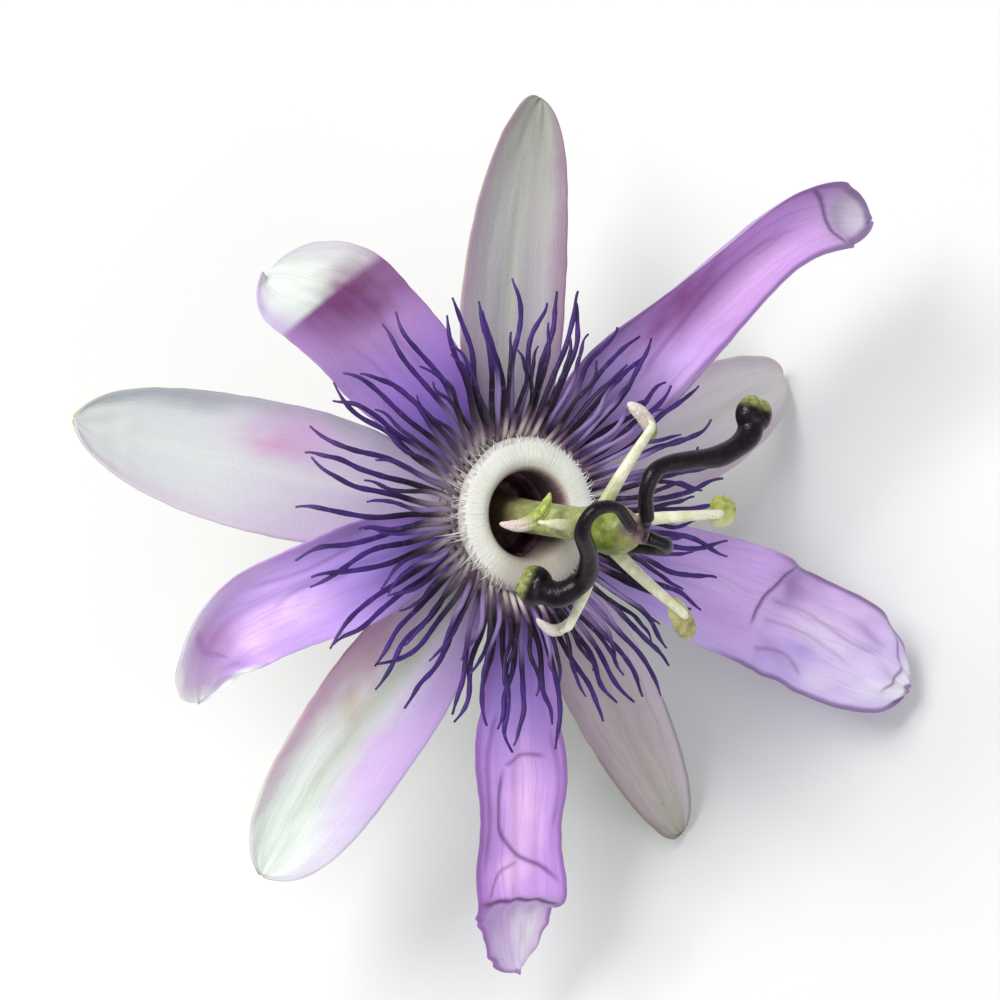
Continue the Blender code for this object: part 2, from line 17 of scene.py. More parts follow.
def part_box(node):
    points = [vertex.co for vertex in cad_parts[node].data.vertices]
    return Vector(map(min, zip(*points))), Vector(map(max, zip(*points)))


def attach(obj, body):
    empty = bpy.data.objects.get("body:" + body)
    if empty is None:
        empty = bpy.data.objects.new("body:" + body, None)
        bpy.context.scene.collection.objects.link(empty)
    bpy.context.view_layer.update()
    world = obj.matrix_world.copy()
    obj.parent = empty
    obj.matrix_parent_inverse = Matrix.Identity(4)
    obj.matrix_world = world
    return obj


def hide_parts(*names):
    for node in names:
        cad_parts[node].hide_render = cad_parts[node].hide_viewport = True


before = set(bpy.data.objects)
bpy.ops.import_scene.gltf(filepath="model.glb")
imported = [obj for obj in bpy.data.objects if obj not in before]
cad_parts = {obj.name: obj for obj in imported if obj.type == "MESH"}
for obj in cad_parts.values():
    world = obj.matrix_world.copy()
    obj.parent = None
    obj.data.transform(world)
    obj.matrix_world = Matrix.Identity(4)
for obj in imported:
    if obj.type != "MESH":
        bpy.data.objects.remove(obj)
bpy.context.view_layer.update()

MM = 0.001

# The solids' own values. Lengths are in mm
LEAN = math.radians(31.1)
LEAN_TOWARDS = math.radians(-14.9)
ROLL = math.radians(2.4)
SEAT = 36.83
TEPAL_ROOT = 7.2
SEPAL_LEVEL = -2.0
PETAL_LEVEL = -0.9
STEPS = 160  # along a tepal's midline
CUP_RADIUS = 9.0
CUP_RIM = -2.7
CUP_FLOOR = -6.0
CUP_FOOT = -9.0
RING_OUTER = 8.6
RING_INNER = 4.7
RING_TOP = 3.4
TURNED_SIDES = 32
CORONA_COUNT = 60  # filaments in a row
CORONA_SEED = 11
CORONA_UPHILL = 0.18
COLUMN_LEAN = (math.radians(6), math.radians(5), 0)
COLUMN_FOOT = -5.2
COLUMN_TOP = 15.6
COLUMN_RADIUS = 1.9
OVARY_RADIUS = 2.8
OVARY_HEIGHT = 6.4
ANTHER_HALF_THICKNESS = 0.8
ANTHER_DROOP = 0.5
GAP = 0.3
STALK_RADIUS = 1.1
BRACT_LEVEL = -14.5
BRACT_LENGTH = 12.0
BRACT_HALF_WIDTH = 3.4
HORN_AT = 0.88
HORN_LENGTH = 3.2
HORN_RADIUS = 0.55

# How finely the pieces are made
TEPAL_ROWS = {"sepal": 180, "petal": 230}
TEPAL_COLUMNS = {"sepal": 44, "petal": 60}
CREASE_POINTS = 240
BAND_SIDES = 240
RING_POINTS, RING_SIDES = 64, 420
CUP_POINTS, CUP_SIDES = 90, 200
COLUMN_POINTS, COLUMN_SIDES = 70, 96
OVARY_POINTS, OVARY_SIDES = 60, 120
ANTHER_POINTS, ANTHER_SIDES = 60, 56
FILAMENT_POINTS = 26
STYLE_POINTS = 60
STALK_POINTS, STALK_SIDES = 130, 40
BRACT_STEPS = 60  # along its midline
BRACT_ROWS, BRACT_COLUMNS = 110, 31
COLUMN_VOXEL, STYLE_VOXEL = 0.17, 0.13


# ---------------------------------------------------------------- shapes, in mm


def ease(x):
    x = np.clip(x, 0.0, 1.0)
    return x * x * (3 - 2 * x)


def blend4(values, s):
    """The four values run into one another as s goes from 0 to 1."""
    a, b, c, d = values
    r = 1 - s
    return a * r**3 + 3 * b * s * r**2 + 3 * c * s**2 * r + d * s**3


def ripples(x, y, seed, low=0.6, high=2.4):
    """Smooth uneven relief between about -1 and 1: a sum of waves in seeded directions."""
    waves = 7
    draw = random.Random(seed)
    total = 0
    for _ in range(waves):
        pitch = draw.uniform(low, high)
        turn = draw.uniform(0, math.tau)
        run = math.tau * pitch * (x * math.cos(turn) + y * math.sin(turn))
        total = total + np.sin(run + draw.uniform(0, math.tau))
    return total / math.sqrt(waves) / 1.4


def through(points, count):
    """That many points on a smooth curve through the given ones."""
    points = [Vector(point) for point in points]
    knots = [2 * points[0] - points[1], *points, 2 * points[-1] - points[-2]]
    spans = len(points) - 1
    curve = []
    for step in range(count):
        at = step * spans / (count - 1)
        span = min(int(at), spans - 1)
        t = at - span
        a, b, c, d = knots[span : span + 4]
        square = (2 * a - 5 * b + 4 * c - d) * t**2
        cube = (3 * b - a - 3 * c + d) * t**3
        curve.append(0.5 * (2 * b + (c - a) * t + square + cube))
    return np.array(curve)


def rounded(profile, count):
    """The (radius, height) profile's corners rounded off, with that many points and none past the axis."""
    points = through([(radius, height, 0) for radius, height in profile], count)[:, :2]
    points[:, 0] = np.maximum(points[:, 0], 0)
    return points


def normalised(vectors):
    return vectors / np.maximum(np.linalg.norm(vectors, axis=-1, keepdims=True), 1e-12)


def polar(radius, turn, height):
    return np.stack([radius * np.cos(turn), radius * np.sin(turn), height], axis=-1)


def bearing(compass):
    """The level direction at that angle from +X."""
    return np.array([math.cos(compass), math.sin(compass), 0])


def circle(sides):
    return np.arange(sides) * math.tau / sides


def cells(rows, around, closed=False):
    """Four corners of each cell between rings of points. closed leads from the last ring to the first."""
    ring = np.arange(rows if closed else rows - 1)[:, None] * around
    near = ring + np.arange(around)
    far = ring + (np.arange(around) + 1) % around
    return near, far, (far + around) % (rows * around), (near + around) % (rows * around)


def by_ring(values):
    """Values given once, or once for each ring, so that they spread round it."""
    return {name: np.asarray(value, float)[..., None] for name, value in values.items()}


def set_value(mesh, name, values):
    layer = mesh.attributes.new(name, "FLOAT", "POINT")
    layer.data.foreach_set("value", np.asarray(values, np.float32))


class Shape:
    """Points in mm, faces, and named values at each point, gathered into one mesh."""

    def __init__(self):
        self.points = []
        self.faces = []
        self.values = {}
        self.count = 0

    def add(self, points, faces, values):
        points = points.reshape(-1, 3)
        self.faces += (np.stack(faces, axis=-1).reshape(-1, 4) + self.count).tolist()
        for name in {**self.values, **values}:
            rows = self.values.setdefault(name, [np.zeros(self.count)])
            rows.append(np.broadcast_to(values.get(name, 0), (len(points),)))
        self.points.append(points)
        self.count += len(points)

    def loop_grid(self, grid, **values):
        """A closed skin from rings of points, (rows, around, 3), with both ends drawn to their middle."""
        rows, around, _ = grid.shape
        ends = np.stack([grid[0].mean(axis=0), grid[-1].mean(axis=0)])
        values = {name: np.broadcast_to(value, (rows, around)) for name, value in values.items()}
        values = {name: np.r_[v.ravel(), v[0].mean(), v[-1].mean()] for name, v in values.items()}
        self.add(np.concatenate([grid.reshape(-1, 3), ends]), cells(rows, around), values)
        start = self.count - rows * around - 2
        for ring, hub, turn in ((0, self.count - 2, 1), (rows - 1, self.count - 1, -1)):
            base = start + ring * around
            for k in range(around):
                corner = [base + k, hub, base + (k + 1) % around]
                self.faces.append(corner[::turn])

    def blade(self, sheet, out, **values):
        """A closed thin blade round a sheet of points. out leads from the sheet to the blade's front."""
        both = {name: np.concatenate([value, value[:, ::-1]], axis=1) for name, value in values.items()}
        front = np.repeat((1.0, 0.0), sheet.shape[1])
        self.loop_grid(np.concatenate([sheet + out, (sheet - out)[:, ::-1]], axis=1), front=front, **both)

    def tube(self, path, radii, sides=8, flatten=1.0, **values):
        """A tube along a path, with a radius at each point of it."""
        path = np.asarray(path, float)
        along = normalised(np.gradient(path, axis=0))
        start = np.cross(along[0], (0, 0, 1) if abs(along[0][2]) < 0.9 else (1, 0, 0))
        across = [normalised(start)]
        for direction in along[1:]:
            across.append(normalised(across[-1] - direction * np.dot(across[-1], direction)))
        across = np.array(across)
        beside = np.cross(along, across)
        turn = circle(sides)[:, None]
        loop = across[:, None] * np.cos(turn) + beside[:, None] * (np.sin(turn) * flatten)
        radii = np.broadcast_to(np.asarray(radii, float), (len(path),))
        self.loop_grid(path[:, None] + loop * radii[:, None, None], **by_ring(values))

    def revolve(self, profile, sides, closed=False, relief=None, **values):
        """A skin turned about Z from (radius, height) points. relief(turn, radius, height) pushes it out."""
        profile = np.asarray(profile, float)
        turn = circle(sides)
        radius = profile[:, :1] + turn * 0
        height = profile[:, 1:] + turn * 0
        given = {name: (value + radius * 0).ravel() for name, value in by_ring(values).items()}
        if relief:
            step = np.gradient(profile, axis=0)
            outward = normalised(np.stack([-step[:, 1], step[:, 0]], axis=-1))
            push = relief(turn[None], radius, height)
            radius = radius + outward[:, :1] * push
            height = height + outward[:, 1:] * push
        near, far, far_on, near_on = cells(len(profile), sides, closed)
        self.add(polar(radius, turn, height), (near, near_on, far_on, far), given)

    def mesh(self, name):
        mesh = bpy.data.meshes.new(name)
        mesh.from_pydata((np.concatenate(self.points) * MM).tolist(), [], self.faces)
        for key, rows in self.values.items():
            set_value(mesh, key, np.concatenate(rows))
        return mesh

    def piece(self, name, place, paint, nodes, slot):
        finish_piece(name, self.mesh(name), place, paint, nodes, slot)


def in_scene(name, data):
    obj = bpy.data.objects.new(name, data)
    bpy.context.scene.collection.objects.link(obj)
    return obj


def finish_piece(name, mesh, place, paint, nodes, slot):
    """The mesh as a piece of the object, riding on its body and standing for CAD nodes."""
    weld = bmesh.new()
    weld.from_mesh(mesh)
    bmesh.ops.remove_doubles(weld, verts=weld.verts, dist=1e-7)
    bmesh.ops.dissolve_degenerate(weld, edges=weld.edges, dist=1e-8)
    bmesh.ops.recalc_face_normals(weld, faces=weld.faces)
    weld.to_mesh(mesh)
    weld.free()
    mesh.transform(place)
    mesh.shade_smooth()
    mesh.materials.append(paint.material)
    obj = in_scene(name, mesh)
    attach(obj, "root")
    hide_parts(*nodes)


def melted(shape, voxel):
    """The shape's overlapping bodies as one skin, its joins rounded off."""
    obj = in_scene("melt", shape.mesh("melt"))
    remesh = obj.modifiers.new("remesh", "REMESH")
    remesh.mode = "VOXEL"
    remesh.voxel_size = voxel * MM
    obj.modifiers.new("smooth", "SMOOTH").iterations = 4
    bpy.context.view_layer.update()
    made = bpy.data.meshes.new_from_object(obj.evaluated_get(bpy.context.evaluated_depsgraph_get()))
    raw = obj.data
    bpy.data.objects.remove(obj, do_unlink=True)
    bpy.data.meshes.remove(raw)
    points = np.zeros(len(made.vertices) * 3)
    made.vertices.foreach_get("co", points)
    return made, points.reshape(-1, 3) / MM


# ---------------------------------------------------------------- where the flower lies


def in_mm(matrix):
    moved = matrix.copy()
    moved.translation = matrix.translation * MM
    return moved


def ring_profile():
    skirt = TEPAL_ROOT - 0.8
    foot = CUP_RIM + GAP
    return [
        (RING_INNER + 0.3, foot),
        (RING_INNER + 0.2, 0.5),
        (RING_INNER, 2.0),
        (RING_INNER + 0.45, 2.95),
        (RING_INNER + 1.5, RING_TOP),
        (RING_OUTER - 0.7, RING_TOP - 0.3),
        (RING_OUTER, RING_TOP - 1.1),
        (RING_OUTER - 0.4, 1.75),
        (skirt, 1.1),
        (skirt, foot),
    ]


TIPPED = (
    Matrix.Translation((0, 0, SEAT))
    @ Matrix.Rotation(LEAN, 4, Vector((-math.sin(LEAN_TOWARDS), math.cos(LEAN_TOWARDS), 0)))
    @ Matrix.Rotation(ROLL, 4, "Z")
)


def set_down():
    """How far the whole flower was moved when it was set down, told by its ring."""
    turns = [math.tau * k / TURNED_SIDES for k in range(TURNED_SIDES)]
    ring = [TIPPED @ Vector((r * math.cos(t), r * math.sin(t), z)) for t in turns for r, z in ring_profile()]
    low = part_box("nectar_ring")[0] / MM
    return Matrix.Translation([low[k] - min(point[k] for point in ring) for k in range(3)])


GROUND = set_down()
BLOOM = in_mm(GROUND @ TIPPED)
COLUMN = BLOOM @ Euler(COLUMN_LEAN).to_matrix().to_4x4()


# ---------------------------------------------------------------- materials


def rgb(r, g, b):
    """A colour from its usual 0 to 255 values."""
    linear = [((v / 255 + 0.055) / 1.055) ** 2.4 if v > 10 else v / 255 / 12.92 for v in (r, g, b)]
    return (*linear, 1)


def dimmed(colour, share):
    return tuple(int(v * share) for v in colour)


class Paint:
    """A material's node tree, built in few words. A tuple of three is a colour."""

    def __init__(self, name, roughness, sheen=0.0, subsurface=0.0, coat=0.0, specular=0.5):
        self.material = bpy.data.materials.new(name)
        self.material.use_nodes = True
        self.tree = self.material.node_tree
        self.shader = self.tree.nodes["Principled BSDF"]
        self.shader.inputs["Roughness"].default_value = roughness
        self.shader.inputs["Sheen Weight"].default_value = sheen
        self.shader.inputs["Coat Weight"].default_value = coat
        self.shader.inputs["Specular IOR Level"].default_value = specular
        self.shader.inputs["Subsurface Weight"].default_value = subsurface
        self.shader.inputs["Subsurface Scale"].default_value = 0.0012  # metres

    def link(self, value, socket):
        if isinstance(value, bpy.types.NodeSocket):
            self.tree.links.new(value, socket)
        elif value is not None:
            socket.default_value = rgb(*value) if isinstance(value, tuple) else value

    def node(self, kind, inputs, output=0, **settings):
        """A new node's output, once its settings are made and its inputs filled or linked."""
        made = self.tree.nodes.new("ShaderNode" + kind)
        for key, value in settings.items():
            setattr(made, key, value)
        for key, value in inputs.items():
            self.link(value, made.inputs[key])
        return made.outputs[output]

    def value(self, name):
        return self.node("Attribute", {}, "Fac", attribute_name=name)

    def math(self, operation, *values):
        return self.node("Math", dict(enumerate(values)), operation=operation)

    def times(self, a, b):
        return self.math("MULTIPLY", a, b)

    def span(self, value, low, high, top=1.0, bottom=0.0, rise="SMOOTHSTEP"):
        """From bottom to top, as the value goes from low to high."""
        inputs = dict(enumerate((value, low, high, bottom, top)))
        return self.node("MapRange", inputs, interpolation_type=rise)

    def ramp(self, factor, stops):
        colour = self.node("ValToRGB", {0: factor})
        elements = colour.node.color_ramp.elements
        while len(elements) < len(stops):
            elements.new(0.5)
        for element, (at, tint) in zip(elements, stops):
            element.position = at
            element.color = rgb(*tint)
        return colour

    def mix(self, factor, a, b):
        return self.node("Mix", {0: factor, 6: a, 7: b}, 2, data_type="RGBA", clamp_factor=True)

    def over(self, skin, colour, value, low, high, share=1.0):
        """The colour laid over the skin, more and more as the value goes from low to high."""
        return self.mix(self.span(value, low, high, share), skin, colour)

    def vector(self, x, y, z=0.0):
        return self.node("CombineXYZ", dict(enumerate((x, y, z))))

    def place(self):
        return self.node("TexCoord", {}, "Object")

    def noise(self, scale, detail=2.0, roughness=0.5, at=None):
        at = self.place() if at is None else at
        inputs = {"Vector": at, "Scale": scale, "Detail": detail, "Roughness": roughness}
        return self.node("TexNoise", inputs, "Fac")

    def cells(self, scale):
        return self.node("TexVoronoi", {"Vector": self.place(), "Scale": scale}, "Distance")

    def colour(self, value):
        self.link(value, self.shader.inputs["Base Color"])

    def bump(self, distance, *heights):
        """heights: (height, share) pairs, laid one over another."""
        normal = None
        for height, share in heights:
            inputs = {"Strength": share, "Distance": distance, "Height": height, "Normal": normal}
            normal = self.node("Bump", inputs)
        self.link(normal, self.shader.inputs["Normal"])


def tepal_paint(name, seed, back, body, left, right, veins, keel=None, patches=(), crease=None, rim=None):
    """A tepal's face: colours along it, to each margin and on its keel, patches, veins, creases and rim. Some
    patches are painted highlights and painted shade, and the creases are darkened with painted shade.
    """
    paint = Paint(name, 0.5, sheen=0.12, subsurface=0.12)
    along = paint.value("along")
    across = paint.value("across")

    def drawn_out(x, pitch, offset, *noise):
        return paint.noise(*noise, at=paint.vector(x, paint.times(along, pitch), offset))

    face = paint.ramp(along, body)
    stray = paint.math("MULTIPLY_ADD", drawn_out(across, 3.5, seed, 1.3, 3, 0.55), 0.5, -0.25)
    wandering = paint.math("ADD", across, stray)
    for colour, low, high, share in (left, right):
        face = paint.over(face, colour, wandering, low, high, share)
    beside = paint.math("ABSOLUTE", across)
    if keel:
        colour, width, share = keel
        ends = paint.span(along, 0.98, 0.75, share)
        face = paint.mix(paint.times(paint.span(beside, width, 0.0), ends), face, colour)
    # Patches: the tepal's own markings, painted highlights and painted shade
    for index, patch in enumerate(patches):
        face = paint.mix(paint.value(f"patch_{index}"), face, patch[-2])
    drift = drawn_out(paint.times(across, 1.5), 5, seed + 3, 1)
    lane = paint.math("MULTIPLY_ADD", drift, 0.35, across)
    streaks = drawn_out(paint.times(lane, 11), 2.2, seed, 1, 4, 0.6)
    hair = drawn_out(paint.times(lane, 34), 3, seed + 9, 1)
    lines = paint.math("MAXIMUM", paint.span(streaks, 0.5, 0.7), paint.span(hair, 0.55, 0.75, 0.6))
    colour, share = veins
    face = paint.mix(paint.times(lines, share), face, colour)
    # Painted shade along the creases
    if crease:
        face = paint.mix(paint.value("crease"), face, crease)
    if rim:
        colour, width, start, share = rim
        outer = paint.span(paint.value("edge"), width, width * 0.3, share)
        face = paint.mix(paint.times(outer, paint.span(along, start, start + 0.12)), face, colour)
    rear = paint.over(back, dimmed(back, 0.72), beside, 0.3, 0.0, 0.7)
    rear = paint.mix(paint.times(lines, 0.35), rear, dimmed(back, 0.8))
    skin = paint.over(rear, face, paint.value("front"), 0.25, 0.6)
    paint.colour(paint.mix(paint.value("horn"), skin, (62, 66, 38)))
    paint.link(paint.span(streaks, 0.3, 0.7, 0.62, 0.42), paint.shader.inputs["Roughness"])
    paint.bump(0.00022, (streaks, 0.25), (hair, 0.2), (paint.cells(5200), 0.16))
    return paint


# ---------------------------------------------------------------- tepals


class Fold(NamedTuple):
    """A crease across a tepal, where the sheet dips. All but the dip are shares of the tepal's length."""

    where: float = 0.8
    dip: float = 0  # degrees
    turn: float = 0.06  # over which the sheet turns down
    hold: float = 0.06  # for which it stays down, before it levels out again
    slant: float = 0.0  # how much further out the crease meets the margin at u = 1


class Tepal(NamedTuple):
    """A petal or sepal as a curved sheet, with the solids' own values, in degrees and mm."""

    compass: float
    length: float
    half_width: float
    rise: tuple  # its slope, blended from root to tip
    cup: tuple  # half the angle that it curls through from side to side, blended likewise
    level: float  # of its root
    sway: float = 0
    hook: tuple = (0.7, 0)  # the share of its length where it starts to hook sideways, and how far it turns
    twist: float = 0
    fold: Fold = Fold()
    ripple: tuple = (0.0, 2.0, 0.0)  # its margins' height, waves and phase
    root: float = 0.5  # width there, as a share of the greatest
    widest: float = 0.45  # share of the length
    tip: float = 2.4  # how blunt

    def slope(self, s, u):
        fold = self.fold
        beyond = s - fold.where - fold.slant * u
        dipped = ease(beyond / fold.turn + 0.5) - ease((beyond - fold.hold) / fold.turn + 0.5)
        return np.radians(blend4(self.rise, s) - fold.dip * dipped)

    def heading(self, s):
        start, turn = self.hook
        hooked = ease((s - start) / (1 - start))
        return math.radians(self.compass) + math.radians(self.sway) * s * s + math.radians(turn) * hooked

    def midline(self, s, u):
        """Points at s on the midline, bent as the strip at u bends: a slanted fold meets each elsewhere."""
        points = np.zeros((*s.shape, 3))
        for strip in np.unique(u):
            line = self.trace(strip)
            here = u == strip
            for k in range(3):
                points[here, k] = np.interp(s[here], np.linspace(0, 1, STEPS + 1), line[:, k])
        return points

    def trace(self, u):
        s = (np.arange(STEPS) + 0.5) / STEPS
        slope = self.slope(s, u)
        steps = polar(np.cos(slope), self.heading(s), np.sin(slope))
        start = bearing(math.radians(self.compass)) * TEPAL_ROOT + (0, 0, self.level)
        return np.concatenate([[start], start + np.cumsum(steps * self.length / STEPS, axis=0)])

    def width(self, s):
        swelling = self.root + (1 - self.root) * np.sin(np.minimum(s / self.widest, 1) * math.pi / 2)
        past = np.clip((s - self.widest) / (1 - self.widest), 0, 1)
        return self.half_width * swelling * np.maximum((1 - past**self.tip) ** 0.5, 0.03)

    def place(self, s, u, margin=1.0):
        """Points at s along the sheet and u across it, both arrays of one shape."""
        centre = self.midline(s, u)
        heading = self.heading(s)
        slope = self.slope(s, u)
        side = np.stack([-np.sin(heading), np.cos(heading), 0 * s], axis=-1)
        steep = np.sin(slope)
        up = np.stack([-steep * np.cos(heading), -steep * np.sin(heading), np.cos(slope)], axis=-1)
        turn = (math.radians(self.twist) * s * s)[..., None]
        side, up = side * np.cos(turn) + up * np.sin(turn), up * np.cos(turn) - side * np.sin(turn)
        curl = np.radians(blend4(self.cup, s))
        curl = np.where(np.abs(curl) < 0.01, 0.01, curl)
        bow = self.width(s) * margin / curl
        height, waves, phase = self.ripple
        beat = waves * s + phase + 0.23 * (u > 0)
        wave = height * ease(s / 0.35) * u * u * np.sin(math.tau * beat)
        lift = bow * (1 - np.cos(curl * u)) + wave
        return centre + side * (bow * np.sin(curl * u))[..., None] + up * lift[..., None]


SEPALS = {
    "sepal_top": Tepal(
        85, 41.5, 6.8, (-18, -10, -2, -16), (0, 22, 34, 40), SEPAL_LEVEL, sway=-21, tip=2.2, widest=0.38,
    ),
    "sepal_right": Tepal(19.5, 45, 6.8, (-24, -18, -24, -22), (0, 20, 30, 46), SEPAL_LEVEL, widest=0.42),
    "sepal_low_right": Tepal(
        -49, 43.5, 5.9, (-22, -20, -24, -20), (0, 20, 30, 46), SEPAL_LEVEL, sway=3, tip=2.2, widest=0.42,
    ),
    "sepal_low_left": Tepal(
        -123, 41, 7.5, (-20, -18, -14, -6), (0, 22, 30, 36), SEPAL_LEVEL, sway=2, tip=3.4, widest=0.48,
    ),
    "sepal_left": Tepal(
        170, 44, 7.6, (-20, -16, -11, 0), (0, 22, 32, 40), SEPAL_LEVEL, sway=-6, tip=2.5, widest=0.44,
    ),
}
PETALS = {
    "petal_high_right": Tepal(
        46, 50, 6.4, (-6, 2, 26, 8), (0, 10, 200, 20), PETAL_LEVEL, sway=-8, hook=(0.66, -44), twist=-6,
        fold=Fold(0.88, 30, 0.05, 0.05), root=0.55, tip=4.0, widest=0.35, ripple=(0.5, 2.2, 0.1),
    ),
    "petal_right": Tepal(
        -16.5, 50.5, 6.7, (-6, -6, 10, -8), (0, 16, 14, -12), PETAL_LEVEL, sway=-10, root=0.4, tip=4.4,
        fold=Fold(0.54, 32, 0.06, 0.06, 0.03), widest=0.55, ripple=(0.8, 3.2, 0.35),
    ),
    "petal_low": Tepal(
        -84.5, 47, 5.7, (-6, -14, -18, -18), (0, 16, 22, 10), PETAL_LEVEL, sway=13, root=0.45, tip=5.0,
        fold=Fold(0.78, 55, 0.05, 0.05, 0.01), widest=0.5, ripple=(0.7, 3.0, 0.6),
    ),
    "petal_left": Tepal(
        -161.5, 38, 6.3, (-6, -8, -8, -34), (0, 20, 90, 40), PETAL_LEVEL, sway=10, hook=(0.62, 75),
        root=0.42, tip=3.4, ripple=(0.5, 2.6, 0.2),
    ),
    "petal_high_left": Tepal(
        129, 33.5, 7.4, (-6, -8, -4, -12), (0, 20, 24, 16), PETAL_LEVEL, sway=24, root=0.42, tip=3.6,
        fold=Fold(0.75, 48, 0.06, 1.0, 0.06), widest=0.55, ripple=(0.4, 2.4, 0.5),
    ),
}

# A tepal's surface: depth of its long wrinkles and of its crumpling past the fold, and how torn its tip is
SEPAL_RELIEF = (0.08, 0.08, 0.0)
PETAL_RELIEF = {
    "petal_high_right": (0.12, 0.10, 0.0),
    "petal_right": (0.14, 0.30, 0.0),
    "petal_low": (0.20, 0.26, 0.10),
    "petal_left": (0.22, 0.20, 0.0),
    "petal_high_left": (0.12, 0.10, 0.0),
}
# Creases: points (s, u) that each runs through, its half width and depth in mm, and how dark its painted
# shade is
CREASES = {
    "petal_high_right": [
        ([(0.845, 1.0), (0.87, 0.4), (0.885, -0.3), (0.9, -1.0)], 0.28, 0.12, 0.85),
        ([(0.3, -0.2), (0.45, -0.05), (0.62, 0.1), (0.8, 0.0)], 0.3, 0.1, 0.35),
    ],
    "petal_right": [
        ([(0.6, 1.0), (0.56, 0.55), (0.535, 0.1), (0.53, -0.35)], 0.26, 0.14, 0.9),
        ([(0.56, 0.25), (0.68, 0.32), (0.8, 0.2), (0.9, 0.25)], 0.22, 0.1, 0.3),
        ([(0.56, -0.1), (0.7, -0.02), (0.84, -0.2)], 0.22, 0.1, 0.3),
        ([(0.55, -0.65), (0.66, -0.5), (0.72, -0.75)], 0.28, 0.12, 0.4),
        ([(0.9, 0.9), (0.95, 0.5), (0.955, 0.0), (0.93, -0.5)], 0.25, 0.06, 0.7),
    ],
    "petal_low": [
        ([(0.81, 1.0), (0.79, 0.3), (0.773, -0.4), (0.765, -1.0)], 0.34, 0.18, 1.0),
        ([(0.44, -0.34), (0.53, -0.48), (0.6, -0.43), (0.667, -0.02), (0.708, 0.5), (0.765, 0.95)],
         0.26, 0.22, 0.75),
        ([(0.44, -0.34), (0.42, 0.1), (0.43, 0.62)], 0.24, 0.14, 0.6),
        ([(0.76, -0.75), (0.7, -0.45), (0.68, 0.0)], 0.22, 0.14, 0.5),
        ([(0.3, -0.6), (0.42, -0.72), (0.55, -0.75), (0.7, -0.8)], 0.4, 0.2, 0.5),
        ([(0.36, 0.72), (0.5, 0.85), (0.62, 0.8)], 0.3, 0.14, 0.35),
    ],
    "petal_left": [
        ([(0.3, -0.5), (0.48, -0.35), (0.66, -0.45)], 0.3, 0.16, 0.35),
        ([(0.35, 0.05), (0.5, -0.05), (0.62, 0.1)], 0.26, 0.14, 0.3),
        ([(0.8, -0.6), (0.84, -0.1), (0.83, 0.5)], 0.4, 0.16, 0.35),
    ],
    "petal_high_left": [
        ([(0.3, 0.3), (0.45, 0.25), (0.6, 0.35)], 0.3, 0.1, 0.25),
        ([(0.35, -0.35), (0.5, -0.3), (0.62, -0.4)], 0.3, 0.1, 0.25),
    ],
}
BACKS = {"sepal": (176, 190, 132), "petal": (186, 158, 214)}
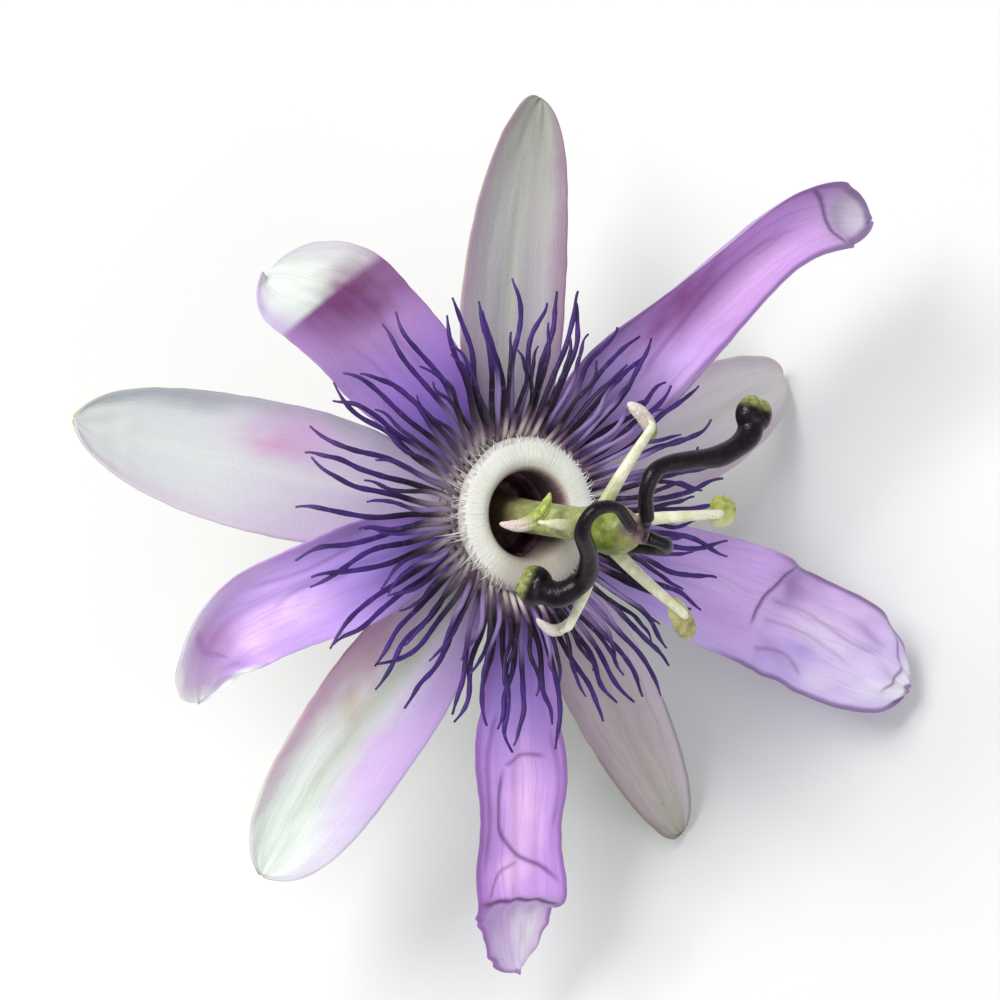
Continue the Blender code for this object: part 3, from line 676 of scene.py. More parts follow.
# Each face: colours along it; a margin's colour, the u where it starts and is full, and its share; the keel's
# colour, width and share; the veins' colour and share; the painted shade colour of its creases; the rim's
# colour, width in mm, start and share; and patches: the s and u of each, how far it reaches along and across,
# its colour and share. Several patches are painted highlights and one is painted shade. Part of the shade
# that leaves cast on the upper sepal and petals is painted into their colours
LOOKS = {
    "sepal_top": dict(
        # Its body darkens towards the tip: painted shadow of leaves
        body=[(0, (170, 152, 182)), (0.35, (182, 176, 184)), (0.7, (178, 177, 175)), (1, (160, 162, 150))],
        left=((168, 126, 160), 0.5, 1.1, 0.6), right=((146, 100, 140), -0.5, -1.1, 0.7),
        keel=((176, 186, 166), 0.3, 0.4), veins=((160, 154, 160), 0.22),
    ),
    "sepal_right": dict(
        body=[(0, (178, 160, 190)), (0.4, (200, 190, 202)), (1, (222, 220, 218))],
        left=((170, 142, 168), 0.4, 1.1, 0.5), right=((170, 142, 168), -0.4, -1.1, 0.5),
        keel=((178, 184, 168), 0.25, 0.4), veins=((156, 146, 158), 0.22),
    ),
    "sepal_low_right": dict(
        body=[(0, (160, 140, 160)), (0.5, (188, 172, 178)), (0.85, (192, 184, 178)), (1, (170, 170, 150))],
        left=((206, 196, 210), 0.35, 1.0, 0.6), right=((150, 124, 144), -0.4, -1.1, 0.6),
        keel=((158, 150, 140), 0.2, 0.4), veins=((148, 132, 142), 0.3),
        rim=((120, 108, 104), 0.5, 0.5, 0.6),
    ),
    "sepal_low_left": dict(
        body=[(0, (200, 186, 216)), (0.5, (228, 232, 228)), (0.85, (244, 252, 244)), (1, (236, 246, 232))],
        left=((196, 162, 226), 0.05, 0.7, 0.9), right=((190, 142, 178), -0.5, -0.95, 0.8),
        keel=((182, 198, 166), 0.3, 0.6), veins=((196, 186, 204), 0.22),
        patches=[
            (0.34, -0.65, 0.2, 0.45, (190, 138, 166), 0.7), (0.6, 0.5, 0.14, 0.35, (218, 184, 240), 0.6),
            (0.97, -0.1, 0.24, 1.6, (236, 248, 238), 0.95), (0.5, -0.3, 0.05, 0.14, (206, 202, 150), 0.5),
        ],
    ),
    "sepal_left": dict(
        body=[(0, (186, 166, 206)), (0.35, (206, 198, 216)), (0.6, (214, 217, 220)), (1, (206, 214, 210))],
        left=((214, 192, 222), 0.4, 1.1, 0.6), right=((150, 156, 166), -0.6, -1.0, 0.8),
        keel=((226, 232, 222), 0.25, 0.3), veins=((206, 202, 212), 0.2),
        patches=[
            (0.42, -0.6, 0.12, 0.34, (206, 166, 212), 0.8), (0.46, -0.36, 0.09, 0.13, (208, 148, 188), 0.6),
        ],
    ),
    "petal_high_right": dict(
        body=[
            (0, (122, 92, 192)), (0.25, (184, 156, 224)), (0.5, (196, 146, 216)), (0.8, (206, 160, 228)),
            (0.87, (202, 164, 222)), (0.905, (186, 174, 200)), (1, (216, 214, 222)),
        ],
        # The pale right margin and the two pale patches on that side are painted highlights
        left=((164, 104, 178), 0.4, 1.0, 0.6), right=((212, 176, 236), -0.3, -1.0, 0.6),
        veins=((150, 100, 176), 0.3), crease=(104, 62, 120), rim=((124, 94, 148), 1.3, 0.15, 0.85),
        patches=[
            (0.5, 0.3, 0.13, 0.5, (148, 78, 152), 0.9), (0.66, -0.4, 0.2, 0.35, (222, 184, 238), 0.8),
            (0.36, -0.6, 0.14, 0.4, (206, 172, 238), 0.75),
        ],
    ),
    "petal_right": dict(
        body=[
            (0, (132, 108, 208)), (0.3, (196, 160, 234)), (0.5, (210, 172, 238)), (0.62, (220, 186, 246)),
            (0.8, (232, 204, 252)), (0.93, (228, 206, 250)), (0.97, (240, 234, 246)), (1, (248, 246, 250)),
        ],
        left=((176, 146, 198), 0.6, 1.1, 0.5), right=((198, 178, 240), -0.4, -1.0, 0.6),
        veins=((160, 124, 200), 0.3), crease=(98, 56, 122), rim=((124, 90, 148), 0.8, 0.45, 0.85),
        # The near-white lilac patches are painted highlights
        patches=[
            (0.615, 0.66, 0.06, 0.42, (150, 112, 176), 0.8), (0.72, 0.1, 0.1, 0.3, (244, 226, 255), 0.7),
            (0.82, -0.25, 0.08, 0.3, (236, 220, 255), 0.65), (0.64, -0.6, 0.08, 0.25, (170, 148, 224), 0.6),
            (0.76, -0.7, 0.06, 0.2, (242, 230, 255), 0.6), (0.9, -0.5, 0.05, 0.3, (248, 242, 255), 0.7),
            (0.84, 0.5, 0.07, 0.2, (182, 154, 210), 0.5), (0.45, 0.2, 0.08, 0.3, (226, 196, 250), 0.5),
            (0.7, -0.3, 0.05, 0.12, (176, 152, 234), 0.6),
        ],
    ),
    "petal_low": dict(
        body=[
            (0, (120, 96, 202)), (0.3, (176, 138, 228)), (0.5, (204, 154, 238)), (0.77, (206, 150, 238)),
            (0.8, (192, 154, 216)), (1, (216, 200, 230)),
        ],
        left=((188, 140, 218), 0.5, 1.0, 0.6), right=((150, 96, 178), -0.6, -1.0, 0.8),
        veins=((166, 112, 206), 0.35), crease=(96, 44, 116), rim=((140, 92, 168), 0.8, 0.3, 0.75),
        # The first two patches are painted highlights
        patches=[
            (0.55, 0.12, 0.15, 0.45, (250, 206, 255), 0.85), (0.71, -0.2, 0.05, 0.4, (248, 206, 255), 0.75),
            (0.9, 0.45, 0.09, 0.5, (246, 240, 246), 0.8),
        ],
    ),
    "petal_left": dict(
        body=[
            (0, (122, 98, 210)), (0.35, (190, 156, 242)), (0.6, (210, 176, 244)), (0.85, (200, 164, 226)),
            (0.94, (212, 186, 224)), (1, (244, 244, 242)),
        ],
        left=((204, 170, 240), 0.4, 1.1, 0.6), right=((186, 142, 204), -0.5, -1.1, 0.6),
        veins=((160, 124, 208), 0.3), crease=(150, 104, 176), rim=((252, 252, 250), 0.9, 0.72, 0.95),
        # The first two patches are painted highlights
        patches=[
            (0.55, 0.25, 0.1, 0.3, (248, 216, 255), 0.7), (0.7, 0.35, 0.07, 0.3, (232, 200, 248), 0.6),
            (0.8, -0.1, 0.06, 0.4, (190, 138, 190), 0.7), (0.93, -0.95, 0.2, 0.42, (252, 253, 250), 0.95),
        ],
    ),
    "petal_high_left": dict(
        body=[
            (0, (112, 84, 196)), (0.35, (164, 126, 218)), (0.55, (176, 138, 198)), (0.735, (124, 70, 128)),
            (0.752, (206, 216, 210)), (0.83, (226, 234, 228)), (1, (224, 232, 226)),
        ],
        left=((182, 146, 212), 0.3, 1.0, 0.6), right=((150, 98, 178), -0.5, -1.1, 0.4),
        veins=((150, 112, 190), 0.2), crease=(120, 78, 150),
        # The grey patch near the tip's upper edge is painted shade
        patches=[
            (0.68, -0.35, 0.1, 0.55, (108, 38, 96), 0.95), (0.88, -0.75, 0.14, 0.3, (190, 198, 196), 0.6),
        ],
    ),
}
# A blade's half thickness in mm at its margins, and what the middle of its root has more
MARGIN_HALF = 0.06
MIDDLE_HALF = 0.22
SEPAL_THICKER = 1.25


def crease_depths(tepal, s, u, knots, width):
    """How much of a crease there is at each point: 1 on its line, fading over its width and at its ends."""
    line = through([(x, y, 0) for x, y in knots], CREASE_POINTS)
    scale = np.array([tepal.length, tepal.half_width])
    points = np.stack([s, u], axis=-1)[..., None, :] * scale
    gaps = np.linalg.norm(points - line[:, :2] * scale, axis=-1)
    nearest = np.argmin(gaps, axis=-1) / (CREASE_POINTS - 1)
    ends = ease(nearest / 0.12 + 0.15) * ease((1 - nearest) / 0.2 + 0.15)
    return np.exp(-((gaps.min(axis=-1) / width) ** 2)) * ends


def tepal_piece(name, tepal, slot, seed):
    """One tepal as a closed thin blade: wrinkles, creases, crumpling past its fold and an uneven margin."""
    wrinkle, crumple, torn = PETAL_RELIEF.get(name, SEPAL_RELIEF)
    s = 1 - (1 - np.linspace(0, 1, TEPAL_ROWS[slot])) ** 1.25
    s, u = np.meshgrid(s, np.linspace(-1, 1, TEPAL_COLUMNS[slot]), indexing="ij")
    bent = s - tepal.fold.slant * u * ease(s / 0.5)
    past = ease((bent - tepal.fold.where) / 0.08)
    nibble = 1 - 0.008 * (1 + ripples(s * 9, u, seed))
    nibble = nibble - torn * past * (0.5 + 0.5 * ripples(s * 16, u * 0.2, seed + 1))
    sheet = tepal.place(s, u, margin=nibble)
    margin = np.concatenate([sheet[:, 0], sheet[-1], sheet[:, -1]])[::2]
    edge = np.stack([np.linalg.norm(row[:, None] - margin[None], axis=-1).min(axis=-1) for row in sheet])
    normal = normalised(np.cross(np.gradient(sheet, axis=0), np.gradient(sheet, axis=1)))
    relief = wrinkle * ripples(u * 1.7 + 0.35 * s, s * 0.9, seed + 2, low=0.7, high=1.6)
    relief = relief + crumple * past * ripples(u * 2.2, s * 11, seed + 3, low=0.5, high=1.3)
    veins = 0.02 * np.sin(u * 23 + ripples(s * 3, u, seed + 4)) * (1 - np.abs(u))
    midrib = 0.08 * np.exp(-((u / 0.07) ** 2)) * (1 - past)
    relief = relief + veins - midrib
    # Painted shade along the creases: how much of it each point gets
    dark = 0 * s
    for knots, width, depth, share in CREASES.get(name, ()):
        found = crease_depths(tepal, s, u, knots, width)
        relief = relief - depth * found
        dark = np.maximum(dark, share * found)
    sheet = sheet + normal * (relief * ease(s / 0.3))[..., None]
    half = MARGIN_HALF + MIDDLE_HALF * np.sqrt(np.clip(1 - np.abs(u) ** 5, 0, 1)) * (1 - 0.55 * s)
    if slot == "sepal":
        half = half * SEPAL_THICKER
    looks = LOOKS[name]
    values = {"along": bent, "across": u, "edge": edge, "crease": dark}
    for index, (at, side, reach, spread, _, share) in enumerate(looks.get("patches", ())):
        stray = ripples(s * 6, u * 1.5, seed + 5 + index)
        far = ((s - at) / reach + 0.25 * stray) ** 2 + ((u - side) / spread + 0.2 * stray) ** 2
        values[f"patch_{index}"] = share * np.exp(-far)
    shape = Shape()
    shape.blade(sheet, normal * half[..., None], **values)
    if slot == "sepal":
        add_horn(shape, tepal)
    shape.piece(name + "_blade", BLOOM, tepal_paint(name, seed, BACKS[slot], **looks), [name], slot)


def add_horn(shape, tepal):
    """The small dark horn on a sepal's back."""
    at = np.array([HORN_AT, HORN_AT + 0.03, HORN_AT, HORN_AT])
    points = tepal.place(at, np.array([0, 0, 0.4, -0.4]))
    along = normalised(points[1] - points[0])
    back = normalised(np.cross(normalised(points[2] - points[3]), along))
    tip = points[0] + normalised(along * 0.88 + back * 0.48) * HORN_LENGTH
    buried = points[0] - along * 1.3 + back * 0.1
    path = through([buried, points[0] + back * 0.35, (points[0] + tip) / 2, tip], 20)
    x = np.linspace(0, 1, 20)
    radii = HORN_RADIUS * np.interp(x, (0, 0.3, 1), (0.1, 0.9, 0.3))
    shape.tube(path, radii, sides=12, along=0.9, horn=ease((x - 0.25) / 0.4))


# ---------------------------------------------------------------- corona


class Row(NamedTuple):
    """One row of the corona. Lengths are in mm."""

    seed: int
    band: tuple  # what its filaments grow from: inner and outer radius, bottom and top
    root: tuple  # the filaments' radius and height there
    reach: float
    climb: float
    offset: float  # in filaments, round the ring
    thickness: float
    points: int  # along each filament


CORONA = {
    "corona_outer_row": Row(CORONA_SEED, (8.85, 9.7, -0.2, 0.5), (9.25, 0.2), 24.6, 3.0, 0.0, 0.4, 34),
    "corona_inner_row": Row(CORONA_SEED + 1, (7.1, 8.4, -0.2, 0.9), (7.9, 0.6), 19.5, 4.9, 0.5, 0.33, 30),
}
# The distances from the axis, in mm, that the bands run between, and the bands as shares of that way
BANDS_FROM, BANDS_TO = 7.0, 27.0
BANDS = [
    (0.0, (222, 218, 208)), (0.09, (206, 196, 192)), (0.15, (124, 92, 116)), (0.21, (26, 9, 26)),
    (0.30, (28, 12, 38)), (0.42, (32, 13, 50)), (0.54, (54, 28, 92)), (0.72, (68, 36, 120)),
    (0.88, (50, 26, 90)), (1.0, (90, 62, 130)),
]


def uphill(compass):
    """How far a place on the ring faces the bloom's upper side: 1 there, 0 on the lower half."""
    return max(-math.cos(compass), 0) ** 2


def filaments(row):
    """The solids' filaments, with more points and with finer waves that grow towards their tips."""
    draw = random.Random(row.seed)
    finer = random.Random(row.seed + 100)
    for index in range(CORONA_COUNT):
        compass = math.tau * (index + row.offset) / CORONA_COUNT + math.radians(draw.uniform(-0.8, 0.8))
        end = row.reach * (1 + CORONA_UPHILL * uphill(compass)) + draw.uniform(-1.9, 1.5)
        bend = math.radians(draw.uniform(-6, 6))
        sway = draw.uniform(0.25, 0.75)
        waves = draw.uniform(1.0, 1.7)
        phase = draw.uniform(0, math.tau)
        lift = draw.uniform(-0.25, 0.25)
        x = np.linspace(0, 1, row.points)

        def wavy(least, most):
            return np.sin(math.tau * finer.uniform(least, most) * x + finer.uniform(0, 6))

        radius = row.root[0] + (end - row.root[0]) * x
        kink = finer.uniform(0.04, 0.16) * x**3 * wavy(2.5, 4.5)
        kink = kink + finer.uniform(-0.6, 0.6) * ease((x - 0.8) / 0.3) ** 2
        turn = compass + bend * x * x + (sway * x * np.sin(math.tau * waves * x + phase) + kink) / radius
        height = row.root[1] + row.climb * np.sin(np.minimum(x * 1.25, 1) * math.pi / 2) + lift * x
        height = height + finer.uniform(0.05, 0.2) * x * wavy(1.5, 3)
        beads = 1 + 0.12 * wavy(5, 9) * x
        radii = row.thickness * (1 - 0.25 * x) * (1 - 0.5 * ease((x - 0.82) / 0.18)) * beads * 0.9
        own = finer.uniform(0, 1)
        pale = uphill(compass) * finer.uniform(0, 0.9)
        yield polar(radius, turn, height), radii, {"reach": radius, "own": own, "pale": pale}


def corona_paint():
    """Bands by distance from the axis, which each filament's own number shifts, and some filaments paler."""
    paint = Paint("corona_filaments", 0.5, sheen=0.04, specular=0.3)
    reach = paint.value("reach")
    own = paint.value("own")
    shifted = paint.math("ADD", reach, paint.times(paint.math("SUBTRACT", own, 0.5), 2.4))
    skin = paint.ramp(paint.span(shifted, BANDS_FROM, BANDS_TO, rise="LINEAR"), BANDS)
    skin = paint.mix(paint.times(paint.value("pale"), paint.span(reach, 15.5, 10.0)), skin, (206, 190, 208))
    light = paint.times(paint.span(reach, 9.5, 12.0), paint.span(reach, 17.5, 14.0))
    skin = paint.mix(paint.times(paint.span(own, 0.6, 0.72, 0.8), light), skin, (156, 130, 190))
    flecks = paint.noise(1, 3, 0.6, at=paint.vector(paint.times(reach, 1.3), paint.times(own, 40)))
    paint.colour(paint.over(skin, (104, 76, 156), flecks, 0.56, 0.72, 0.4))
    paint.bump(0.0001, (paint.noise(3800), 0.3))
    return paint


def corona_pieces():
    paint = corona_paint()
    for name, row in CORONA.items():
        inner, outer, bottom, top = row.band
        profile = np.array([
            (inner, bottom), (inner, top), ((inner + outer) / 2, top + 0.05), (outer, top), (outer, bottom),
        ])
        shape = Shape()
        shape.revolve(profile, BAND_SIDES, closed=True, reach=profile[:, 0], own=0.5, pale=0)
        for path, radii, values in filaments(row):
            shape.tube(path, radii, **values)
        shape.piece(name + "_filaments", BLOOM, paint, [name], "corona")


# ---------------------------------------------------------------- ring, cup


def ring_paint():
    paint = Paint("nectar_ring_skin", 0.6, sheen=0.1, subsurface=0.1)
    radius = paint.value("radius")
    turn = paint.value("turn")
    fibre = paint.noise(1, 3, 0.6, at=paint.vector(paint.times(turn, 26), paint.times(radius, 0.5)))
    skin = paint.ramp(paint.span(radius, 4.2, 9.2, rise="LINEAR"), [
        (0.0, (48, 20, 34)), (0.12, (124, 88, 100)), (0.24, (226, 224, 212)), (0.5, (242, 243, 234)),
        (0.72, (238, 237, 230)), (0.9, (220, 212, 212)), (1.0, (206, 192, 202)),
    ])
    skin = paint.over(skin, (208, 206, 190), fibre, 0.5, 0.68, 0.25)
    skin = paint.over(skin, (70, 34, 48), paint.value("height"), 2.7, 0.9, 0.95)
    # Greyer brown towards the ring's lower side
    lower_side = paint.math("COSINE", paint.math("ADD", turn, 1.3))
    paint.colour(paint.over(skin, (160, 148, 136), lower_side, 0.35, 0.95, 0.75))
    paint.bump(0.0002, (fibre, 0.4), (paint.noise(3000, 3), 0.35))
    return paint


# The fringe: fine fibres that lean from the ring over the corona. Radius and height of their roots, in mm
STRANDS = 170
STRAND_SEED = 31
STRAND_ROOT = 7.8
STRAND_LEVEL = 2.85


def ring_piece():
    """The nectar ring with fine ridges, and the fringe of short fibres that grows from it."""
    corners = ring_profile()
    profile = rounded([*corners, corners[0]], RING_POINTS)[:-1]

    def relief(around, radius, height):
        over = ease((radius - 5.2) / 1.4) * ease((height - 0.8) / 1.2)
        ridges = np.sin(around * 91 + 2.2 * np.sin(around * 7)) * (0.5 + 0.5 * np.sin(around * 13))
        return -0.05 + 0.014 * over * ridges + 0.1 * ripples(around * 0.9, height * 0.2, 5) * over

    shape = Shape()
    shape.revolve(profile, RING_SIDES, closed=True, relief=relief, radius=profile[:, 0], height=profile[:, 1])
    points = np.concatenate(shape.points)
    shape.values["turn"] = [np.arctan2(points[:, 1], points[:, 0])]
    draw = random.Random(STRAND_SEED)
    x = np.linspace(0, 1, 10)
    for index in range(STRANDS):
        around = math.tau * (index + draw.uniform(-0.6, 0.6)) / STRANDS
        out = RING_OUTER + (0.45 + 4.0 * uphill(around)) * draw.random() ** 2
        height = STRAND_LEVEL + 0.15 * np.sin(x * 3) + (draw.uniform(-0.5, 0.3) + 0.14 * (out - 9)) * x
        bend = around + draw.uniform(-0.08, 0.08) * x * x
        thick = draw.uniform(0.04, 0.09) * (1 - 0.8 * x**2)
        path = polar(STRAND_ROOT + (out - STRAND_ROOT) * x, bend, height)
        shape.tube(path, thick, sides=6, radius=7.0 + 2.0 * x, height=3.2, turn=around)
    shape.piece("nectar_ring_fibres", BLOOM, ring_paint(), ["nectar_ring"], "ring")


def cup_piece():
    paint = Paint("floral_cup_skin", 0.5, subsurface=0.05)
    inside = paint.value("inside")
    mottle = paint.noise(900, 4, 0.6)
    outer = paint.over((126, 140, 66), (158, 166, 98), mottle, 0.4, 0.65)
    inner = paint.over((66, 34, 46), (116, 74, 86), mottle, 0.4, 0.62)
    paint.colour(paint.mix(inside, outer, inner))
    paint.bump(0.0002, (mottle, 0.4), (paint.noise(4000), 0.25))
    within = ease((0.34 - np.linspace(0, 1, CUP_POINTS)) / 0.03)  # the first third of the profile

    def relief(around, radius, height):
        side = ease((radius - 4) / 3) * (1 - within[:, None])
        return -0.06 + 0.1 * side * (np.sin(around * 10) + 0.4 * np.sin(around * 40 + 1))

    shape = Shape()
    shape.revolve(rounded([
        (0, CUP_FLOOR), (3.8, CUP_FLOOR), (4.5, CUP_FLOOR + 0.9), (4.7, CUP_RIM), (7.0, CUP_RIM),
        (CUP_RADIUS - 0.4, CUP_RIM - 1.0), (CUP_RADIUS, CUP_RIM - 1.5), (CUP_RADIUS - 0.5, CUP_RIM - 2.5),
        (6.9, CUP_FOOT + 2.3), (4.4, CUP_FOOT + 0.9), (1.9, CUP_FOOT), (0, CUP_FOOT),
    ], CUP_POINTS), CUP_SIDES, relief=relief, inside=within)
    shape.piece("floral_cup_skin", BLOOM, paint, ["floral_cup"], "green")


# ---------------------------------------------------------------- column, anthers, ovary, styles


class Stamen(NamedTuple):
    """One filament and its anther. Angles are in degrees and lengths in mm."""

    compass: float
    reach: float  # of the filament, from the column's axis
    height: float  # of the filament's tip
    turn: float  # of the anther, from the filament's direction
    bend: float  # of the anther's ends, sideways
    half_length: float  # of the anther
    half_width: float
    light: tuple  # the anther's colours, the third for the end that it turns away
    dark: tuple
    far: tuple


STAMENS = [
    Stamen(64, 13.2, 17.2, 70, 0.3, 2.7, 0.85, (242, 228, 226), (218, 202, 192), (150, 148, 88)),
    Stamen(8, 15.2, 19.8, 76, 0.0, 1.8, 1.7, (206, 210, 110), (164, 168, 66), (224, 224, 160)),
    Stamen(-41, 15.2, 18.4, -14, 0.3, 2.7, 1.3, (198, 188, 126), (150, 142, 80), (204, 204, 150)),
    Stamen(-98, 11.8, 13.2, 100, 1.3, 2.3, 0.65, (236, 224, 218), (206, 190, 178), (236, 224, 218)),
    Stamen(177, 6.6, 14.6, -149, 1.5, 3.7, 0.8, (198, 210, 106), (160, 174, 68), (244, 222, 214)),
]


# Where a filament leaves the column: radius and height. Where it is arched: share of its reach, and the rise
HUB = (0.8, COLUMN_TOP - 1.0)
SHOULDER = (0.45, 0.9)


def stamen_path(stamen):
    towards = bearing(math.radians(stamen.compass))
    hub = towards * HUB[0] + (0, 0, HUB[1])
    end = towards * stamen.reach + (0, 0, stamen.height)
    shoulder = hub + towards * stamen.reach * SHOULDER[0] + (0, 0, SHOULDER[1])
    return through([hub, shoulder, end], FILAMENT_POINTS)


def column_paint():
    paint = Paint("column_skin", 0.45, subsurface=0.15)
    mottle = paint.noise(700, 4, 0.6)
    trunk = paint.over((150, 162, 92), (186, 192, 128), mottle, 0.4, 0.62)
    trunk = paint.over(trunk, (96, 62, 60), paint.value("up"), 6.0, -2.0, 0.85)
    arms = paint.over((220, 222, 184), (240, 240, 216), mottle, 0.42, 0.6)
    skin = paint.mix(paint.value("arm"), trunk, arms)
    paint.colour(paint.over(skin, (120, 84, 110), paint.noise(2600), 0.62, 0.7, 0.25))
    paint.bump(0.0002, (mottle, 0.35), (paint.noise(3600), 0.25))
    return paint


def column_piece():
    """The column and its five filaments as one skin. Each ends in a fine hook that holds its anther."""

    def relief(around, radius, height):
        return -0.08 + 0.12 * np.cos(around * 5) * ease((radius - 0.8) / 0.8) * ease((height + 5) / 3)

    shape = Shape()
    shape.revolve(rounded([
        (0, COLUMN_TOP), (1.7, COLUMN_TOP - 0.1), (2.5, COLUMN_TOP - 0.8), (2.2, COLUMN_TOP - 2.4),
        (COLUMN_RADIUS, COLUMN_TOP - 5.0), (COLUMN_RADIUS, 1.0), (2.3, -3.0), (2.7, COLUMN_FOOT),
        (0, COLUMN_FOOT),
    ], COLUMN_POINTS), COLUMN_SIDES, relief=relief)
    x = np.linspace(0, 1, FILAMENT_POINTS)
    for stamen in STAMENS:
        path = stamen_path(stamen)
        onward = normalised(path[-1] - path[-2])
        # The outer half is drawn back, so that its tip doesn't stick out past its anther
        path = path - np.outer(ease((x - 0.5) / 0.5), onward) * 0.8 * min(stamen.half_width, 1.7)
        shape.tube(path, 0.95 - 0.42 * x, sides=16, flatten=0.8)
        end = path[-1]
        hook = through([end, end + onward * 0.3 + (0, 0, -0.5), end + onward * 0.5 + (0, 0, -1.2)], 6)
        shape.tube(hook, np.linspace(0.4, 0.24, 6), sides=12)
    mesh, points = melted(shape, COLUMN_VOXEL)
    out = np.linalg.norm(points[:, :2], axis=1)
    set_value(mesh, "arm", ease((out - 2.2) / 5))
    set_value(mesh, "up", points[:, 2])
    finish_piece("column_with_filaments", mesh, COLUMN, column_paint(), ["column"], "column")


def anther_paint(name, stamen):
    paint = Paint(name, 0.75, sheen=0.15)
    dust = paint.cells(5600)
    cloud = paint.noise(1100, 3, 0.6)
    skin = paint.over(stamen.light, stamen.dark, cloud, 0.38, 0.64)
    skin = paint.over(skin, stamen.far, paint.value("end"), 0.1, -0.6)
    # Painted shade in the groove under the anther
    skin = paint.over(skin, dimmed(stamen.dark, 0.62), paint.value("groove"), 0.35, 0.9, 0.7)
    paint.colour(paint.over(skin, (236, 230, 180), dust, 0.5, 0.2, 0.25))
    paint.bump(0.00018, (dust, 0.7), (cloud, 0.4))
    return paint


def anther_piece(number, stamen):
    """A pollen sac of two lobes with a groove between them, dusty with pollen."""
    x = np.linspace(-1, 1, ANTHER_POINTS)[:, None]
    around = circle(ANTHER_SIDES)[None]
    end = np.sqrt(np.clip(1 - np.abs(x) ** 2.6, 0.002, 1))
    crease = np.exp(-((np.cos(around)) / 0.3) ** 2)
    below = np.sin(around) < 0
    fold = 1 - 0.34 * crease * np.where(below, 1, 0.55)
    side = np.cos(around) * stamen.half_width * end * fold
    up = np.sin(around) * ANTHER_HALF_THICKNESS * end * fold
    wobble = 1 + 0.05 * ripples(x * 2, around, number + 39)
    long = x * stamen.half_length + around * 0
    grid = [long, side * wobble + stamen.bend * x**2, up * wobble - ANTHER_DROOP * x**2]
    shape = Shape()
    shape.loop_grid(np.stack(grid, axis=-1), groove=crease * below, end=x)
    drop = ANTHER_HALF_THICKNESS + ANTHER_DROOP + 2.5 * GAP
    compass = math.radians(stamen.compass)
    at = Vector(bearing(compass) * stamen.reach + (0, 0, stamen.height - drop)) * MM
    turn = Matrix.Rotation(compass + math.radians(stamen.turn), 4, "Z")
    name = f"anther_{number}"
    paint = anther_paint(name + "_skin", stamen)
    shape.piece(name + "_lobes", COLUMN @ Matrix.Translation(at) @ turn, paint, [name], "anther")


def ovary_piece():
    paint = Paint("ovary_skin", 0.4, subsurface=0.08, coat=0.1)
    up = paint.value("up")
    mottle = paint.noise(800, 4, 0.6)
    skin = paint.over((96, 114, 34), (140, 152, 66), mottle, 0.4, 0.62)
    # Paler towards the top: a painted highlight
    skin = paint.over(skin, (150, 150, 96), up, 0.8, 0.98, 0.6)
    paint.colour(paint.over(skin, (170, 176, 110), up, 0.12, 0.0, 0.5))
    paint.bump(0.0002, (mottle, 0.3), (paint.noise(3600), 0.2))
    foot = COLUMN_TOP + GAP
    angle = np.linspace(0, math.pi, OVARY_POINTS)
    radius = OVARY_RADIUS * np.sin(angle) ** 0.8 / (1 + 0.12 * np.cos(angle))
    height = foot + OVARY_HEIGHT * (1 + np.cos(angle)) / 2

    def relief(around, radius, height):
        return -0.04 + 0.07 * np.cos(around * 3 + 0.5) * ease(radius / 2)

    shape = Shape()
    profile = np.stack([radius, height], axis=-1)
    shape.revolve(profile, OVARY_SIDES, relief=relief, up=(height - foot) / OVARY_HEIGHT)
    shape.tube(np.linspace((0, 0, COLUMN_TOP - 0.6), (0, 0, foot + 0.9), 6), 1.5, sides=32, up=0.05)
    shape.piece("ovary_skin", COLUMN, paint, ["ovary"], "ovary")


# Each style's route from the ovary to its stigma, and its radius at the two ends
STYLES = [
    ([(-1.0, 0.8, 23.2), (-4.0, 2.9, 24.3), (-6.8, 2.5, 24.2), (-7.3, 0.2, 23.0), (-4.7, -2.7, 20.8),
      (-3.4, -5.4, 18.3), (-5.1, -7.3, 16.2), (-7.1, -6.5, 14.4)], 0.72, 1.7),
    ([(1.0, 1.5, 23.2), (0.1, 4.6, 24.0), (1.2, 7.2, 24.4), (5.2, 8.1, 24.4), (9.6, 8.7, 24.2),
      (13.2, 10.6, 23.8), (14.3, 13.2, 23.4)], 0.9, 1.6),
    ([(1.2, -0.4, 23.2), (3.6, -1.1, 23.2), (5.3, -1.7, 20.6), (5.5, -1.8, 16.4), (5.2, -1.7, 12.6)],
     0.8, 1.2),
]
STIGMA = np.array((2.3, 2.3, 1.7))  # its half sizes


def style_paint(name):
    paint = Paint(name, 0.3, specular=0.28)
    streak = paint.noise(1500, 3, 0.6)
    skin = paint.over((14, 3, 13), (46, 18, 38), streak, 0.5, 0.7, 0.6)
    # The pale pink on the style's root, above the ovary, is a painted highlight
    skin = paint.mix(paint.times(paint.value("foot"), 0.8), skin, (178, 150, 150))
    cap = paint.over((120, 130, 66), (168, 172, 104), streak, 0.4, 0.62)
    paint.colour(paint.mix(paint.value("cap"), skin, cap))
    paint.bump(0.00018, (streak, 0.35), (paint.cells(4200), 0.15))
    return paint


